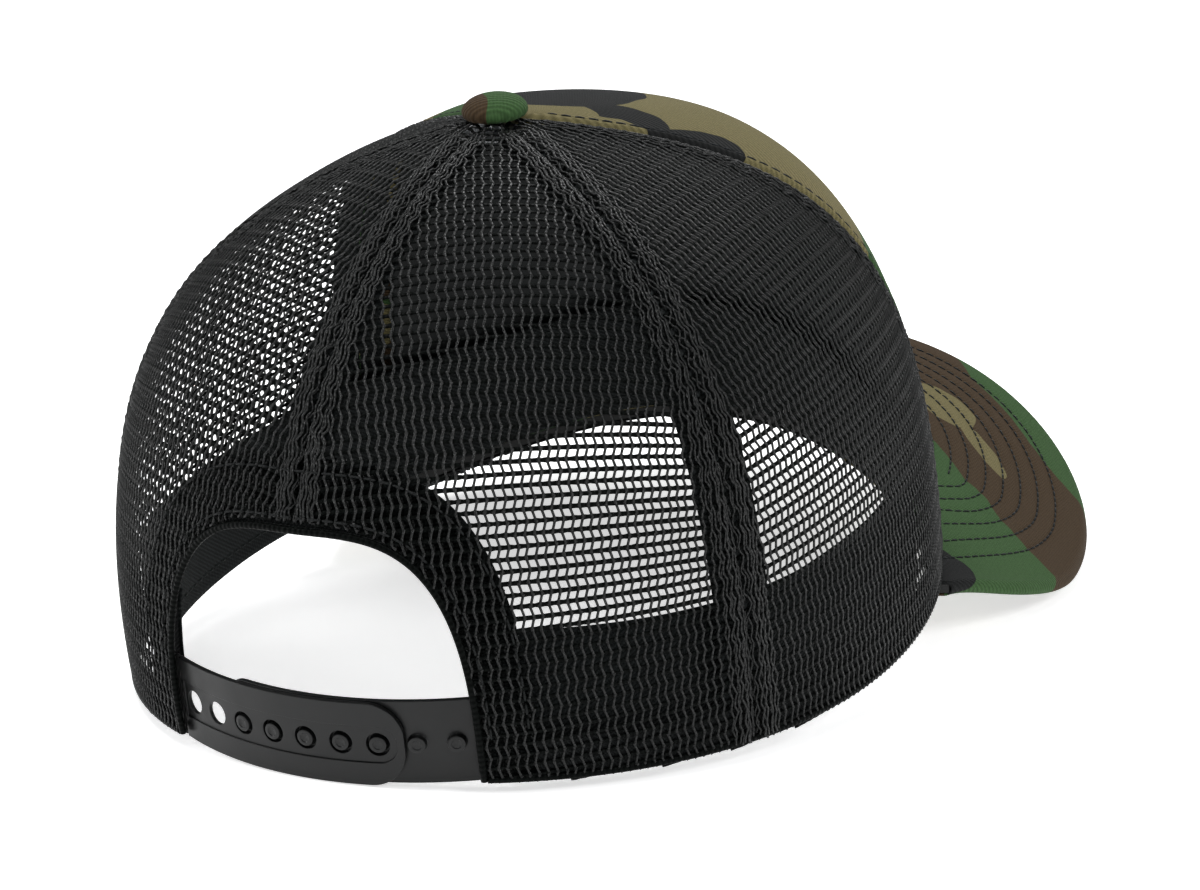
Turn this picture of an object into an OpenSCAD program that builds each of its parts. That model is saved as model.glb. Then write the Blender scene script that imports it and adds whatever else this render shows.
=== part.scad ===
// Trucker mesh cap: twill front panel, mesh back, curved visor and a snap strap.
// Front points to -Y, the wearer's left is +X, up is +Z. Millimetres.
// The parts are drawn with the rim level, then tipped back as the cap lies on a table.

/* [Crown] */
// Length of the head opening, front to back, measured outside
rim_length = 206; // [176:1:240]
// Width of the head opening, side to side, measured outside
rim_width = 176; // [150:1:206]
// Height of the crown under the button, above the sides of the rim
crown_height = 116.5; // [96:0.5:140]
// How much the rim rises at the middle of the forehead
front_rise = 12; // [6:0.5:18]
// How much the rim rises at the middle of the back
rear_rise = 9; // [4:0.5:14]
// How far the mesh gores flatten between their seams, as a share of the radius
gore_flat = 0.015; // [0:0.005:0.04]
// Thickness of the twill and the mesh
cloth = 0.7; // [0.5:0.1:1.2]
// Thickness of the stiff lining behind the front panel
lining = 2; // [1:0.1:3]
// Tilt of the cap as it rests on its visor and its back rim
rest_tilt = 9.1; // [0:0.1:12]

/* [Seams and bands] */
// Width of the tape that covers each seam on the inside
tape_width = 13; // [8:0.5:16]
// Width of the folded edge round the back opening
fold_width = 12; // [6:0.5:16]
// Height of the sweatband
sweatband_height = 30; // [24:1:42]
// Depth of the sweatband behind the outside of the rim
sweatband_depth = 5.7; // [5.3:0.1:8]
// Height of the hem tape along the rim
hem_height = 9; // [5:0.5:12]

/* [Back opening] */
// Half width of the back opening, as an angle round the rim
opening_angle = 24.2; // [20:0.2:30]
// Height of the back opening above the rim
opening_height = 52; // [40:1:64]
// Squareness of the arch, 2 is an ellipse
arch_power = 3.2; // [2:0.1:4.5]

/* [Strap] */
// Height of both straps
strap_height = 18.2; // [15:0.5:25]
// Thickness of both straps
strap_thick = 1.2; // [0.9:0.1:1.6]
// Distance between neighbouring holes and pegs
snap_pitch = 8; // [6.5:0.1:9]
// Diameter of the holes
hole_d = 5; // [4.4:0.1:5.6]
// Diameter of the pegs
peg_d = 3.6; // [3:0.1:4]
// Clearance between the two straps
strap_gap = 0.3; // [0.2:0.05:0.6]

/* [Visor] */
// Length of the visor in the middle, from the rim to its edge
visor_length = 74; // [60:1:90]
// Half width of the visor at its widest
visor_half_width = 95.5; // [80:1:104]
// Radius of the arch the visor is bent to
visor_bend = 89; // [70:1:140]
// Thickness of the plastic board inside the visor
board = 2.2; // [1.6:0.1:3]

/* [Button] */
// Diameter of the covered button
button_d = 14.4; // [12:0.2:20]
// Height of the button's dome
button_h = 4.8; // [3.5:0.1:7]

/* [Hidden] */
$fn = 48;
HALF_L = rim_length/2;
HALF_W = rim_width/2;
BUTTON_Y = 0.8;
// Corner that each profile leans towards: share of the radius, height and pull
CORNER_R = [0.79, 1.01, 1.13];
CORNER_Z = [crown_height - 11.5, crown_height - 18.5, crown_height - 6.5];
CORNER_PULL = [3, 1.4, 0.84];
SEAM = 60;
// Shares of the radius where the panels and the seam tapes stop below the button
CROWN_HOLE = 0.05;
TAPE_TOP = 0.14;
TAPE_OUT = cloth + 0.2;
TAPE_IN = TAPE_OUT + 0.55;
LINE_OUT = cloth + 0.2;
LINE_IN = LINE_OUT + lining;
PAD_OUT = LINE_IN + 0.3;
// The straps lie on circles that follow the back of the rim
BACK_R = HALF_W*HALF_W/HALF_L;
BACK_Y = HALF_L - BACK_R;
HOLE_OUT = BACK_R - 1.7;
HOLE_IN = HOLE_OUT - strap_thick;
PEG_OUT = HOLE_IN - strap_gap;
PEG_IN = PEG_OUT - strap_thick;
STRAP_Z = rear_rise - 2.2;
LEG_X = HALF_W*sin(opening_angle);
HINGE_X = LEG_X - 1;
HOLE_MID = (HOLE_OUT + HOLE_IN)/2;
PEG_MID = (PEG_OUT + PEG_IN)/2;
HOLE_HINGE = asin(HINGE_X/HOLE_MID);
PEG_HINGE = asin(HINGE_X/PEG_MID);
SNAP_STEP = snap_pitch/HOLE_MID*180/PI;
FIRST_HOLE = HOLE_HINGE - 4.2/HOLE_MID*180/PI;
LAST_HOLE = FIRST_HOLE - 6*SNAP_STEP;
// The strap ends past its last hole, and clear of the next peg
PEG_ROOM = 0.35;
PAST_HOLE = min(5.4, snap_pitch - peg_d/2 - PEG_ROOM);
END_X = HOLE_MID*sin(LAST_HOLE) - PAST_HOLE;
PEG_END_X = PEG_MID*sin(FIRST_HOLE - 2*SNAP_STEP) + 5;
TAB_LENGTH = 10;
// The sweatband lies inside the sewn ends of the straps
TAB_END = PEG_HINGE + TAB_LENGTH/PEG_MID*180/PI;
TAB_DEPTH = max([for (k = [0:6])
    depth_of(PEG_IN*sin(TAB_END), BACK_Y + PEG_IN*cos(TAB_END), STRAP_Z + strap_height*k/6)]);
BAND_GAP = 0.15;
BAND_OUT = max(sweatband_depth, TAB_DEPTH + BAND_GAP);
BAND_IN = BAND_OUT + cloth;
PAD_IN = BAND_OUT - 0.3;
VISOR_SPAN = 68;

TWILL_DARK = [0.09, 0.10, 0.10];
TWILL_CAMO = [0.20, 0.24, 0.15];
MESH = [0.08, 0.09, 0.09];
PLASTIC = [0.05, 0.05, 0.055];
STEEL = [0.55, 0.55, 0.56];

// ---- shape of the crown -------------------------------------------------
// p is the angle round the rim in degrees, 0 at the forehead and positive to +X.
// t runs up a profile from the rim to the button. d is the depth under the outside.

// Depth of a place under the outside of the crown at its back
function depth_of(x, y, z, lo = 0, hi = 30, n = 20) =
    n == 0 ? lo
    : let (m = (lo + hi)/2, p = 180 - atan2(x/(HALF_W - m), y/(HALF_L - m)),
           c = crown_pt(p, t_at(p, z, m), m))
        norm([c[0], c[1]]) > norm([x, y]) ? depth_of(x, y, z, m, hi, n - 1)
                                          : depth_of(x, y, z, lo, m, n - 1);
function ease(x) = let (c = min(max(x, 0), 1)) c*c*(3 - 2*c);
function mix3(p, v) = let (f = 1 - ease((abs(p) - 30)/36), r = ease((abs(p) - 90)/80))
    f*v[0] + (1 - f)*((1 - r)*v[1] + r*v[2]);
function rim_z(p) = front_rise*pow(max(cos(p), 0), 4) + rear_rise*pow(max(-cos(p), 0), 2);
function gore(p, t) = abs(p) < SEAM ? 1 : 1 - gore_flat*pow(sin(3*p), 2)*4*t*(1 - t);
function crown_pt(p, t, d) =
    let (w = mix3(p, CORNER_PULL), k0 = (1 - t)*(1 - t), k1 = 2*w*t*(1 - t), k2 = t*t,
         q = k0 + k1 + k2, s = (k0 + k1*mix3(p, CORNER_R))/q*gore(p, t),
         z = (k0*rim_z(p) + k1*(mix3(p, CORNER_Z) - d) + k2*(crown_height - d))/q)
    [(HALF_W - d)*sin(p)*s, (-(HALF_L - d)*cos(p) - BUTTON_Y)*s + BUTTON_Y, z];
function t_at(p, z, d, lo = 0, hi = 0.9, n = 18) =
    n == 0 ? (lo + hi)/2
    : let (m = (lo + hi)/2) crown_pt(p, m, d)[2] < z ? t_at(p, z, d, m, hi, n - 1)
                                                      : t_at(p, z, d, lo, m, n - 1);
// Lower edge of the mesh: the rim, or the arch over the back opening
function arch_z(p, grow = 0) =
    let (g = opening_angle + grow*deg_per_mm(), x = (180 - abs(p))/g)
    x >= 1 ? rim_z(p) : rim_z(p) + (opening_height + grow)*pow(1 - pow(x, arch_power), 1/arch_power);
function deg_per_mm() = 180/PI/((HALF_W + HALF_L)/2 + 4);
function low_t(p, d) = arch_z(p) <= rim_z(p) ? 0 : t_at(p, arch_z(p), d);
function mix(a, b, k) = a + (b - a)*k;
// Place on a profile close to the button, by its share of the radius there
function top_t(p, share) = 1 - share/(2*mix3(p, CORNER_PULL)*mix3(p, CORNER_R));
// Half width of a seam tape as an angle, at the place where the profile has got to
function tape_half(p, t) =
    let (c = crown_pt(p, t, 0), r = norm([c[0], c[1] - BUTTON_Y])) min(asin(min(tape_width/2/r, 1)), 25);

// A closed sheet between two faces given over the unit square
module sheet(nu, nv, top, low) {
    n = (nu + 1)*(nv + 1);
    at = function(i, k, s) i*(nv + 1) + k + s*n;
    pts = concat([for (i = [0:nu], k = [0:nv]) top(i/nu, k/nv)],
                 [for (i = [0:nu], k = [0:nv]) low(i/nu, k/nv)]);
    faces = concat(
        [for (i = [0:nu - 1], k = [0:nv - 1]) each [
            [at(i, k, 0), at(i + 1, k + 1, 0), at(i + 1, k, 0)],
            [at(i, k, 0), at(i, k + 1, 0), at(i + 1, k + 1, 0)],
            [at(i, k, 1), at(i + 1, k, 1), at(i + 1, k + 1, 1)],
            [at(i, k, 1), at(i + 1, k + 1, 1), at(i, k + 1, 1)]]],
        [for (i = [0:nu - 1]) each [
            [at(i, 0, 0), at(i + 1, 0, 0), at(i + 1, 0, 1)],
            [at(i, 0, 0), at(i + 1, 0, 1), at(i, 0, 1)],
            [at(i, nv, 0), at(i + 1, nv, 1), at(i + 1, nv, 0)],
            [at(i, nv, 0), at(i, nv, 1), at(i + 1, nv, 1)]]],
        [for (k = [0:nv - 1]) each [
            [at(0, k, 0), at(0, k + 1, 1), at(0, k + 1, 0)],
            [at(0, k, 0), at(0, k, 1), at(0, k + 1, 1)],
            [at(nu, k, 0), at(nu, k + 1, 0), at(nu, k + 1, 1)],
            [at(nu, k, 0), at(nu, k + 1, 1), at(nu, k, 1)]]]);
    polyhedron(points = pts, faces = faces, convexity = 8);
}

// The same sheet on the crown: angle and profile place as functions, and two depths
module crown_sheet(nu, nv, ang, prof, d0, d1)
    sheet(nu, nv,
          function(u, v) crown_pt(ang(u, v), prof(u, v, d0), d0),
          function(u, v) crown_pt(ang(u, v), prof(u, v, d1), d1));

module as_set_down() rotate([-rest_tilt, 0, 0]) children();
module other_side() mirror([1, 0, 0]) children();

// ---- crown --------------------------------------------------------------

module front_panel() color(TWILL_CAMO) as_set_down()
    crown_sheet(32, 22, function(u, v) mix(-SEAM, SEAM, u),
        function(u, v, d) top_t(mix(-SEAM, SEAM, u), CROWN_HOLE)*v, 0, cloth);

// The lining stops beside the seam tapes and short of the rim
module front_lining() color(TWILL_DARK) as_set_down()
    crown_sheet(24, 18,
        function(u, v) let (e = lining_edge(v)) mix(-e, e, u),
        function(u, v, d) mix(0.02, top_t(SEAM, TAPE_TOP), v), LINE_OUT, LINE_IN);
function lining_edge(v) = SEAM - tape_half(SEAM, mix(0.02, top_t(SEAM, TAPE_TOP), v)) - 1.8;

module side_gore()
    crown_sheet(16, 22, function(u, v) mix(SEAM, 2*SEAM, u),
        function(u, v, d) top_t(mix(SEAM, 2*SEAM, u), CROWN_HOLE)*v, 0, cloth);

// Columns crowd together beside the leg of the arch
function rear_angle(u) = u < 0.4 ? mix(2*SEAM, 180 - opening_angle, u/0.4)
                                 : 180 - opening_angle*(1 - pow((u - 0.4)/0.6, 2.2));
module rear_gore()
    crown_sheet(25, 22, function(u, v) rear_angle(u),
        function(u, v, d) mix(low_t(rear_angle(u), d), top_t(rear_angle(u), CROWN_HOLE), v), 0, cloth);

module mesh_side_left() color(MESH) as_set_down() side_gore();
module mesh_side_right() color(MESH) as_set_down() other_side() side_gore();
module mesh_rear_left() color(MESH) as_set_down() rear_gore();
module mesh_rear_right() color(MESH) as_set_down() other_side() rear_gore();

// ---- seam tapes, folded edge and hem ------------------------------------

module seam_tape(p, from_z)
    let (t0 = t_at(p, from_z, TAPE_OUT), t1 = top_t(p, TAPE_TOP))
    crown_sheet(4, 26,
        function(u, v) p + mix(-1, 1, u)*tape_half(p, mix(t0, t1, v)),
        function(u, v, d) mix(t0, t1, v), TAPE_OUT, TAPE_IN);

module tape_front_left() color(TWILL_DARK) as_set_down() seam_tape(SEAM, hem_height + 2);
module tape_front_right() color(TWILL_DARK) as_set_down() other_side() seam_tape(SEAM, hem_height + 2);
module tape_side_left() color(TWILL_DARK) as_set_down()
    seam_tape(2*SEAM, rim_z(2*SEAM) + hem_height + 1.5);
module tape_side_right() color(TWILL_DARK) as_set_down() other_side()
    seam_tape(2*SEAM, rim_z(2*SEAM) + hem_height + 1.5);
module tape_rear() color(TWILL_DARK) as_set_down()
    seam_tape(180, rear_rise + opening_height + fold_width + 1.5);

// The mesh turned in round the back opening, from one leg over the arch to the other
function fold_p(u, v) = let (c = cos(180*u), g = opening_angle + v*fold_width*deg_per_mm())
    180 - g*sign(c)*pow(abs(c), 2/arch_power);
function fold_z(u, v) = let (h = opening_height + v*fold_width)
    rim_z(180 - opening_angle) + h*pow(abs(sin(180*u)), 2/arch_power);
module arch_fold() color(MESH) as_set_down()
    crown_sheet(48, 4, function(u, v) fold_p(u, v),
        function(u, v, d) t_at(fold_p(u, v), max(fold_z(u, v), rim_z(fold_p(u, v)) + 0.4), d),
        TAPE_OUT, TAPE_IN);

function hem_end() = 180 - opening_angle - fold_width*deg_per_mm() - 1;
module hem() crown_sheet(22, 2, function(u, v) mix(SEAM - 3, hem_end(), u),
    function(u, v, d) t_at(mix(SEAM - 3, hem_end(), u),
        rim_z(mix(SEAM - 3, hem_end(), u)) + mix(0.5, hem_height, v), d), TAPE_OUT, TAPE_IN);
module hem_left() color(MESH) as_set_down() hem();
module hem_right() color(MESH) as_set_down() other_side() hem();

// ---- sweatband ----------------------------------------------------------

BAND_END = 180 - asin((LEG_X + 2)/(HALF_W - BAND_OUT));
module sweatband() color(TWILL_DARK) as_set_down()
    crown_sheet(72, 5, function(u, v) mix(-BAND_END, BAND_END, u),
        function(u, v, d) let (p = mix(-BAND_END, BAND_END, u))
            t_at(p, rim_z(p) + mix(0.6, sweatband_height, v), d), BAND_OUT, BAND_IN);
module forehead_pad() color(TWILL_DARK) as_set_down()
    crown_sheet(30, 4, function(u, v) mix(-52, 52, u),
        function(u, v, d) let (p = mix(-52, 52, u))
            t_at(p, rim_z(p) + mix(2, sweatband_height - 2.5, v), d), PAD_OUT, PAD_IN);

// ---- visor --------------------------------------------------------------
// u runs across the visor from -1 to 1 and s from the rim out to the edge.

VISOR_Y = -HALF_L + 35.5;
VISOR_REACH = visor_length + 35.5;
function edge_pt(u) =
    let (q = 106*u, x = visor_half_width*sign(q)*pow(abs(sin(q)), 0.7), y = VISOR_Y - VISOR_REACH*cos(q))
    [x, y, front_rise - 3.2 - x*x/(2*visor_bend) + 0.3*(y + HALF_L + 62)];
function root_pt(u, d) = let (p = VISOR_SPAN*u)
    [(HALF_W - d)*sin(p), -(HALF_L - d)*cos(p), rim_z(p) - 0.35];
function visor_pt(u, s, drop, trim = 0) =
    let (a = root_pt(u, 3.6), k = pow(max(abs(u) - 0.72, 0)/0.28, 2.4)*0.92,
         b = mix(edge_pt(u), root_pt(u, -1.5), k), f = s*(1 - trim/norm(b - a)), m = mix(a, b, f))
    [m[0], m[1], m[2] + 5*f*(1 - f)*(1 - u*u) - drop];
NU = 40;
NS = 7;
SKIN = cloth;
// The top cover turns down over the edge of the board
module visor_top() color(TWILL_CAMO) as_set_down()
    sheet(NU, NS + 1,
        function(u, v) let (k = round(v*(NS + 1)), w = 2*u - 1)
            k == 0 ? visor_pt(w, 1, SKIN + board) : visor_pt(w, 1 - (k - 1)/NS, 0),
        function(u, v) let (k = round(v*(NS + 1)), w = 2*u - 1)
            k == 0 ? visor_pt(w, 1, SKIN + board, SKIN)
                   : visor_pt(w, 1 - (k - 1)/NS, SKIN, SKIN));
module visor_board() color(PLASTIC) as_set_down()
    sheet(NU, NS,
        function(u, v) visor_pt(2*u - 1, 1 - v, SKIN + 0.05, SKIN + 0.25),
        function(u, v) visor_pt(2*u - 1, 1 - v, SKIN + board - 0.05, SKIN + 0.25));
module visor_under() color(TWILL_CAMO) as_set_down()
    sheet(NU, NS,
        function(u, v) visor_pt(2*u - 1, 1 - v, SKIN + board + 0.05),
        function(u, v) visor_pt(2*u - 1, 1 - v, 2*SKIN + board));

// ---- button -------------------------------------------------------------

module at_button() as_set_down() translate([0, BUTTON_Y, crown_height - 0.5]) children();
// Half of a dome profile, drawn from its rim up to its top
function dome(r, h, z0) = [for (k = [0:12]) [r*cos(90*k/12), z0 + h*sin(90*k/12)]];
module button_cover() color(TWILL_CAMO) at_button() rotate_extrude($fn = 64)
    polygon(concat([[button_d/2, 0.2]], dome(button_d/2, button_h - 0.8, 1),
        [for (k = [12:-1:0]) dome(button_d/2 - cloth, button_h - 0.8 - cloth, 1)[k]],
        [[button_d/2 - cloth, 0.2]]));
module button_core() color(STEEL) at_button() rotate_extrude($fn = 64)
    polygon(concat([[0, 0.3], [button_d/2 - cloth - 0.1, 0.3]],
        dome(button_d/2 - cloth - 0.1, button_h - 0.9 - cloth, 0.95)));
module button_rivet() color(STEEL) at_button() {
    translate([0, 0, -3.6]) cylinder(h = 3.85, r = 1.5);
    translate([0, 0, -4.4]) cylinder(h = 0.9, r = 3);
}
module button_washer() color(STEEL) at_button() difference() {
    translate([0, 0, -3.4]) cylinder(h = 0.8, r = 8.5);
    translate([0, 0, -5]) cylinder(h = 3, r = 1.6);
}

// ---- straps -------------------------------------------------------------

// A band that follows the back of the rim, with a small bevel along both edges
module strap_band(r_in, r_out, from_a, to_a)
    translate([0, BACK_Y, STRAP_Z]) rotate([0, 0, 90 - to_a]) rotate_extrude(angle = to_a - from_a, $fn = 360)
        polygon([[r_in, 0.3], [r_in + 0.3, 0], [r_out - 0.3, 0], [r_out, 0.3],
                 [r_out, strap_height - 0.3], [r_out - 0.3, strap_height],
                 [r_in + 0.3, strap_height], [r_in, strap_height - 0.3]]);
module at_snap(a, r) translate([0, BACK_Y, STRAP_Z + strap_height/2]) rotate([0, 0, -a])
    translate([0, r, 0]) rotate([-90, 0, 0]) children();
// A block across the strap from a round end at x, with the corner radius r
module rounded_end(x, to_x, half, r)
    let (dir = sign(to_x - x))
    translate([0, BACK_Y, STRAP_Z + strap_height/2]) rotate([90, 0, 0]) mirror([0, 0, 1])
        linear_extrude(BACK_R + 5)
            polygon(concat([[to_x, -half]],
                [for (k = [0:12]) [x + dir*(r - r*sin(90*k/12)), r*(1 - cos(90*k/12)) - half]],
                [for (k = [0:12]) [x + dir*(r - r*cos(90*k/12)), half - r + r*sin(90*k/12)]],
                [[to_x, half]]));
module bend_line(x, r) translate([x, BACK_Y + sqrt(r*r - x*x), STRAP_Z + 0.4])
    cylinder(h = strap_height - 0.8, r = strap_thick/2 + 0.04, $fn = 32);

module hole_strap() color(PLASTIC) as_set_down() difference() {
    union() {
        intersection() {
            strap_band(HOLE_IN, HOLE_OUT, LAST_HOLE - 12, HOLE_HINGE);
            rounded_end(END_X, HINGE_X + 20, strap_height/2 + 0.06, strap_height*0.42);
        }
        bend_line(HINGE_X, HOLE_MID);
    }
    for (k = [0:6]) at_snap(FIRST_HOLE - k*SNAP_STEP, HOLE_IN - 2) cylinder(h = 6, d = hole_d);
    // Shallow channel along the row of holes, with a round end past the last one
    intersection() {
        translate([0, BACK_Y, STRAP_Z]) rotate([0, 0, 40])
            rotate_extrude(angle = 100, $fn = 360) translate([HOLE_OUT - 0.35, 1]) square([2, strap_height - 2]);
        rounded_end(HOLE_OUT*sin(LAST_HOLE) - PAST_HOLE + 1.4, HINGE_X - 1.2, 4, 3.9);
    }
}

module peg_strap() color(PLASTIC) as_set_down() {
    intersection() {
        strap_band(PEG_IN, PEG_OUT, -PEG_HINGE, FIRST_HOLE - SNAP_STEP);
        rounded_end(PEG_END_X, -HINGE_X - 20, strap_height/2 + 0.06, strap_height*0.3);
    }
    bend_line(-HINGE_X, PEG_MID);
    for (k = [2:8]) at_snap(FIRST_HOLE - k*SNAP_STEP, PEG_OUT - 0.3) {
        cylinder(h = 0.3 + strap_gap + strap_thick - 0.35, d = peg_d);
        translate([0, 0, 0.3 + strap_gap + strap_thick - 0.35]) cylinder(h = 0.3, d1 = peg_d, d2 = peg_d - 0.7);
    }
}

// The sewn ends of the straps, inside the legs of the opening
module hole_strap_tab() color(PLASTIC) as_set_down()
    strap_band(HOLE_IN, HOLE_OUT, HOLE_HINGE + 0.75, HOLE_HINGE + TAB_LENGTH/HOLE_MID*180/PI);
module peg_strap_tab() color(PLASTIC) as_set_down()
    strap_band(PEG_IN, PEG_OUT, -TAB_END, -PEG_HINGE - 0.75);

front_panel();
front_lining();
mesh_side_left();
mesh_side_right();
mesh_rear_left();
mesh_rear_right();
tape_front_left();
tape_front_right();
tape_side_left();
tape_side_right();
tape_rear();
arch_fold();
hem_left();
hem_right();
sweatband();
forehead_pad();
visor_board();
visor_top();
visor_under();
button_core();
button_cover();
button_rivet();
button_washer();
hole_strap_tab();
peg_strap_tab();
hole_strap();
peg_strap();
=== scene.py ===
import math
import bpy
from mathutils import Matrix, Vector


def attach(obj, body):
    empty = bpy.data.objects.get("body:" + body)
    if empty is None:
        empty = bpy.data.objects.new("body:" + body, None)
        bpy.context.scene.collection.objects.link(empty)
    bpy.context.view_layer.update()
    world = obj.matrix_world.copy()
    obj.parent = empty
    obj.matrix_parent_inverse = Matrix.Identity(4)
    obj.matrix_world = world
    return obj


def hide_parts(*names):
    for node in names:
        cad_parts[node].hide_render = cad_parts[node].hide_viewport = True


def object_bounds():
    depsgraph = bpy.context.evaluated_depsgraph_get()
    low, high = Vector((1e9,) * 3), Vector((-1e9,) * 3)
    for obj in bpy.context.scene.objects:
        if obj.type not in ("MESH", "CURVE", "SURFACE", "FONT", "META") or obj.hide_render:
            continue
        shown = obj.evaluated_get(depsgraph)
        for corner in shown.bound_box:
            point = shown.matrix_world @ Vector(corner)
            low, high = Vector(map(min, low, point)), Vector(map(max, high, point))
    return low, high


bl_info = {
    "name": "Mesh Back Cap",
    "version": (1, 0, 0),
    "blender": (4, 5, 0),
    "location": "3D Viewport > Sidebar > Mesh Cap",
    "description": "Builds the cloth, net, visor and snap strap of a mesh back cap around its CAD frame",
    "category": "Object",
}

import bmesh
import bpy
import numpy as np
from bpy.props import FloatProperty, FloatVectorProperty, IntProperty, PointerProperty
from mathutils import Matrix, Vector
from mathutils.bvhtree import BVHTree

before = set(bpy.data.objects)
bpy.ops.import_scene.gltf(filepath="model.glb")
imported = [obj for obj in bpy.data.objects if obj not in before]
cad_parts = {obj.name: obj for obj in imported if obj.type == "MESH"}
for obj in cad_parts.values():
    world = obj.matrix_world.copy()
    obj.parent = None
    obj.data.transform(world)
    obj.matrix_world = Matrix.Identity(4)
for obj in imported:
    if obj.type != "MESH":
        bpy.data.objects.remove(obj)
CAD_BOX = [list(corner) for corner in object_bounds()]

# The CAD's own sizes, in millimetres and degrees. Angle 0 is the forehead, + is the wearer's left.
HALF_L, HALF_W, CROWN_H = 103.0, 88.0, 116.5
FRONT_RISE, REAR_RISE, BUTTON_Y = 12.0, 9.0, 0.8
CORNER_R = (0.79, 1.01, 1.13)
CORNER_Z = (CROWN_H - 11.5, CROWN_H - 18.5, CROWN_H - 6.5)
CORNER_PULL = (3.0, 1.4, 0.84)
GORE_FLAT, SEAM, CROWN_HOLE, TAPE_TOP = 0.015, 60.0, 0.05, 0.14
CLOTH, LINING = 0.7, 2.0
# The net's raised threads are moved this far up its cloth map, in mm, to tell them from its ribs
THREAD_V = 4000.0
TOPSTITCH_INSET = 2.3
BAND_STITCH_LOW, BAND_STITCH_TOP, PAD_HALF_ANGLE = 4.0, 2.5, 52.0
TAPE_WIDTH, FOLD_WIDTH, HEM_HEIGHT = 13.0, 12.0, 9.0
BAND_HEIGHT, BAND_DEPTH = 30.0, 5.7
ARCH_ANGLE, ARCH_HEIGHT, ARCH_POWER = 24.2, 52.0, 3.2
VISOR_SPAN, VISOR_Y, VISOR_REACH = 68.0, -67.5, 109.5
VISOR_HALF, VISOR_BEND, BOARD = 95.5, 89.0, 2.2
STRAP_H, STRAP_T, SNAP_PITCH = 18.2, 1.2, 8.0
HOLE_D, PEG_D, STRAP_GAP = 5.0, 3.6, 0.3
BACK_R = HALF_W**2 / HALF_L
BACK_Y = HALF_L - BACK_R
STRAP_MID_Z = REAR_RISE - 2.2 + STRAP_H / 2
HOLE_R = BACK_R - 1.7 - STRAP_T / 2
PEG_R = HOLE_R - STRAP_T - STRAP_GAP
HINGE_X = HALF_W * math.sin(math.radians(ARCH_ANGLE)) - 1
BUTTON_D, BUTTON_H = 14.4, 4.8
TILT = math.radians(9.1)
CAMERA_PLACE, CAMERA_SHIFT = (-0.3501, 0.6571, 0.2179), (-0.0192, -0.0076)
CAMERA_AHEAD, CAMERA_ABOVE = (0.4362, -0.8692, -0.2329), (0.0967, -0.2120, 0.9725)
FLOOR_GLOW, WORLD_LIGHT = 0.62, 0.3


# ---- shape of the crown and the visor, as the CAD has it ---------------------


def eased(x):
    """A number eased from 0 to 1, level at both ends."""
    c = np.clip(x, 0, 1)
    return c * c * (3 - 2 * c)


def around(p, values):
    """One value at the front, one at the sides and one at the back, blended by the angle."""
    front, rear = 1 - eased((np.abs(p) - 30) / 36), eased((np.abs(p) - 90) / 80)
    return front * values[0] + (1 - front) * ((1 - rear) * values[1] + rear * values[2])


def rim_z(p):
    """Height of the rim at an angle from the front, with its rises at the front and the back."""
    c = np.cos(np.radians(p))
    return FRONT_RISE * np.maximum(c, 0) ** 4 + REAR_RISE * np.maximum(-c, 0) ** 2


def crown(p, t, depth=0.0):
    """Points of the crown at an angle, a place from rim to button and a depth under the outside."""
    p, t, depth = np.broadcast_arrays(
        np.asarray(p, float), np.asarray(t, float), np.asarray(depth, float)
    )
    flat = np.where(
        np.abs(p) < SEAM,
        1,
        1 - GORE_FLAT * np.sin(np.radians(3 * p)) ** 2 * 4 * t * (1 - t),
    )
    low, mid, top = (1 - t) ** 2, 2 * around(p, CORNER_PULL) * t * (1 - t), t * t
    total = low + mid + top
    share = (low + mid * around(p, CORNER_R)) / total * flat
    z = low * rim_z(p) + mid * (around(p, CORNER_Z) - depth) + top * (CROWN_H - depth)
    a = np.radians(p)
    return np.stack(
        [
            (HALF_W - depth) * np.sin(a) * share,
            (-(HALF_L - depth) * np.cos(a) - BUTTON_Y) * share + BUTTON_Y,
            z / total,
        ],
        -1,
    )


def unit(v):
    """Vectors brought to length one."""
    return v / np.maximum(np.linalg.norm(v, axis=-1, keepdims=True), 1e-9)


def crown_normal(p, t):
    """Outward normals of the crown's surface."""
    step = 0.01
    across = crown(p + 0.2, t) - crown(p - 0.2, t)
    up = crown(p, np.minimum(t + step, 1)) - crown(p, t - step)
    return unit(np.cross(across, up))


def place_at(p, z, depth=0.0, top=0.9):
    """The place on each profile that has this height."""
    p, z = np.broadcast_arrays(np.asarray(p, float), np.asarray(z, float))
    low, high = np.full(p.shape, -0.1), np.full(p.shape, top)
    for _ in range(24):
        mid = (low + high) / 2
        under = crown(p, mid, depth)[..., 2] < z
        low, high = np.where(under, mid, low), np.where(under, high, mid)
    return (low + high) / 2


def top_place(p, share):
    """The place near the button where the crown is this share as wide as at its rim."""
    return 1 - share / (2 * around(p, CORNER_PULL) * around(p, CORNER_R))


def degrees_per_mm():
    """Degrees in one millimetre round the rim, from its mean radius."""
    return math.degrees(1) / ((HALF_W + HALF_L) / 2 + 4)


def arch_z(p, grow=0.0):
    """Height of the arch over the back opening, or of the rim where there is no arch."""
    x = (180 - np.abs(p)) / (ARCH_ANGLE + grow * degrees_per_mm())
    rise = (1 - np.minimum(x, 1) ** ARCH_POWER) ** (1 / ARCH_POWER)
    return rim_z(p) + np.where(x >= 1, 0, (ARCH_HEIGHT + grow) * rise)


def arch_line(u, grow=0.0):
    """Angle and height along the arch, from the left leg over the top to the right leg."""
    c = np.cos(np.pi * u)
    p = 180 - (ARCH_ANGLE + grow * degrees_per_mm()) * np.sign(c) * np.abs(c) ** (
        2 / ARCH_POWER
    )
    z = rim_z(180 - ARCH_ANGLE) + (ARCH_HEIGHT + grow) * np.abs(np.sin(np.pi * u)) ** (
        2 / ARCH_POWER
    )
    return p, np.maximum(z, rim_z(p) + 0.4)


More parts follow.
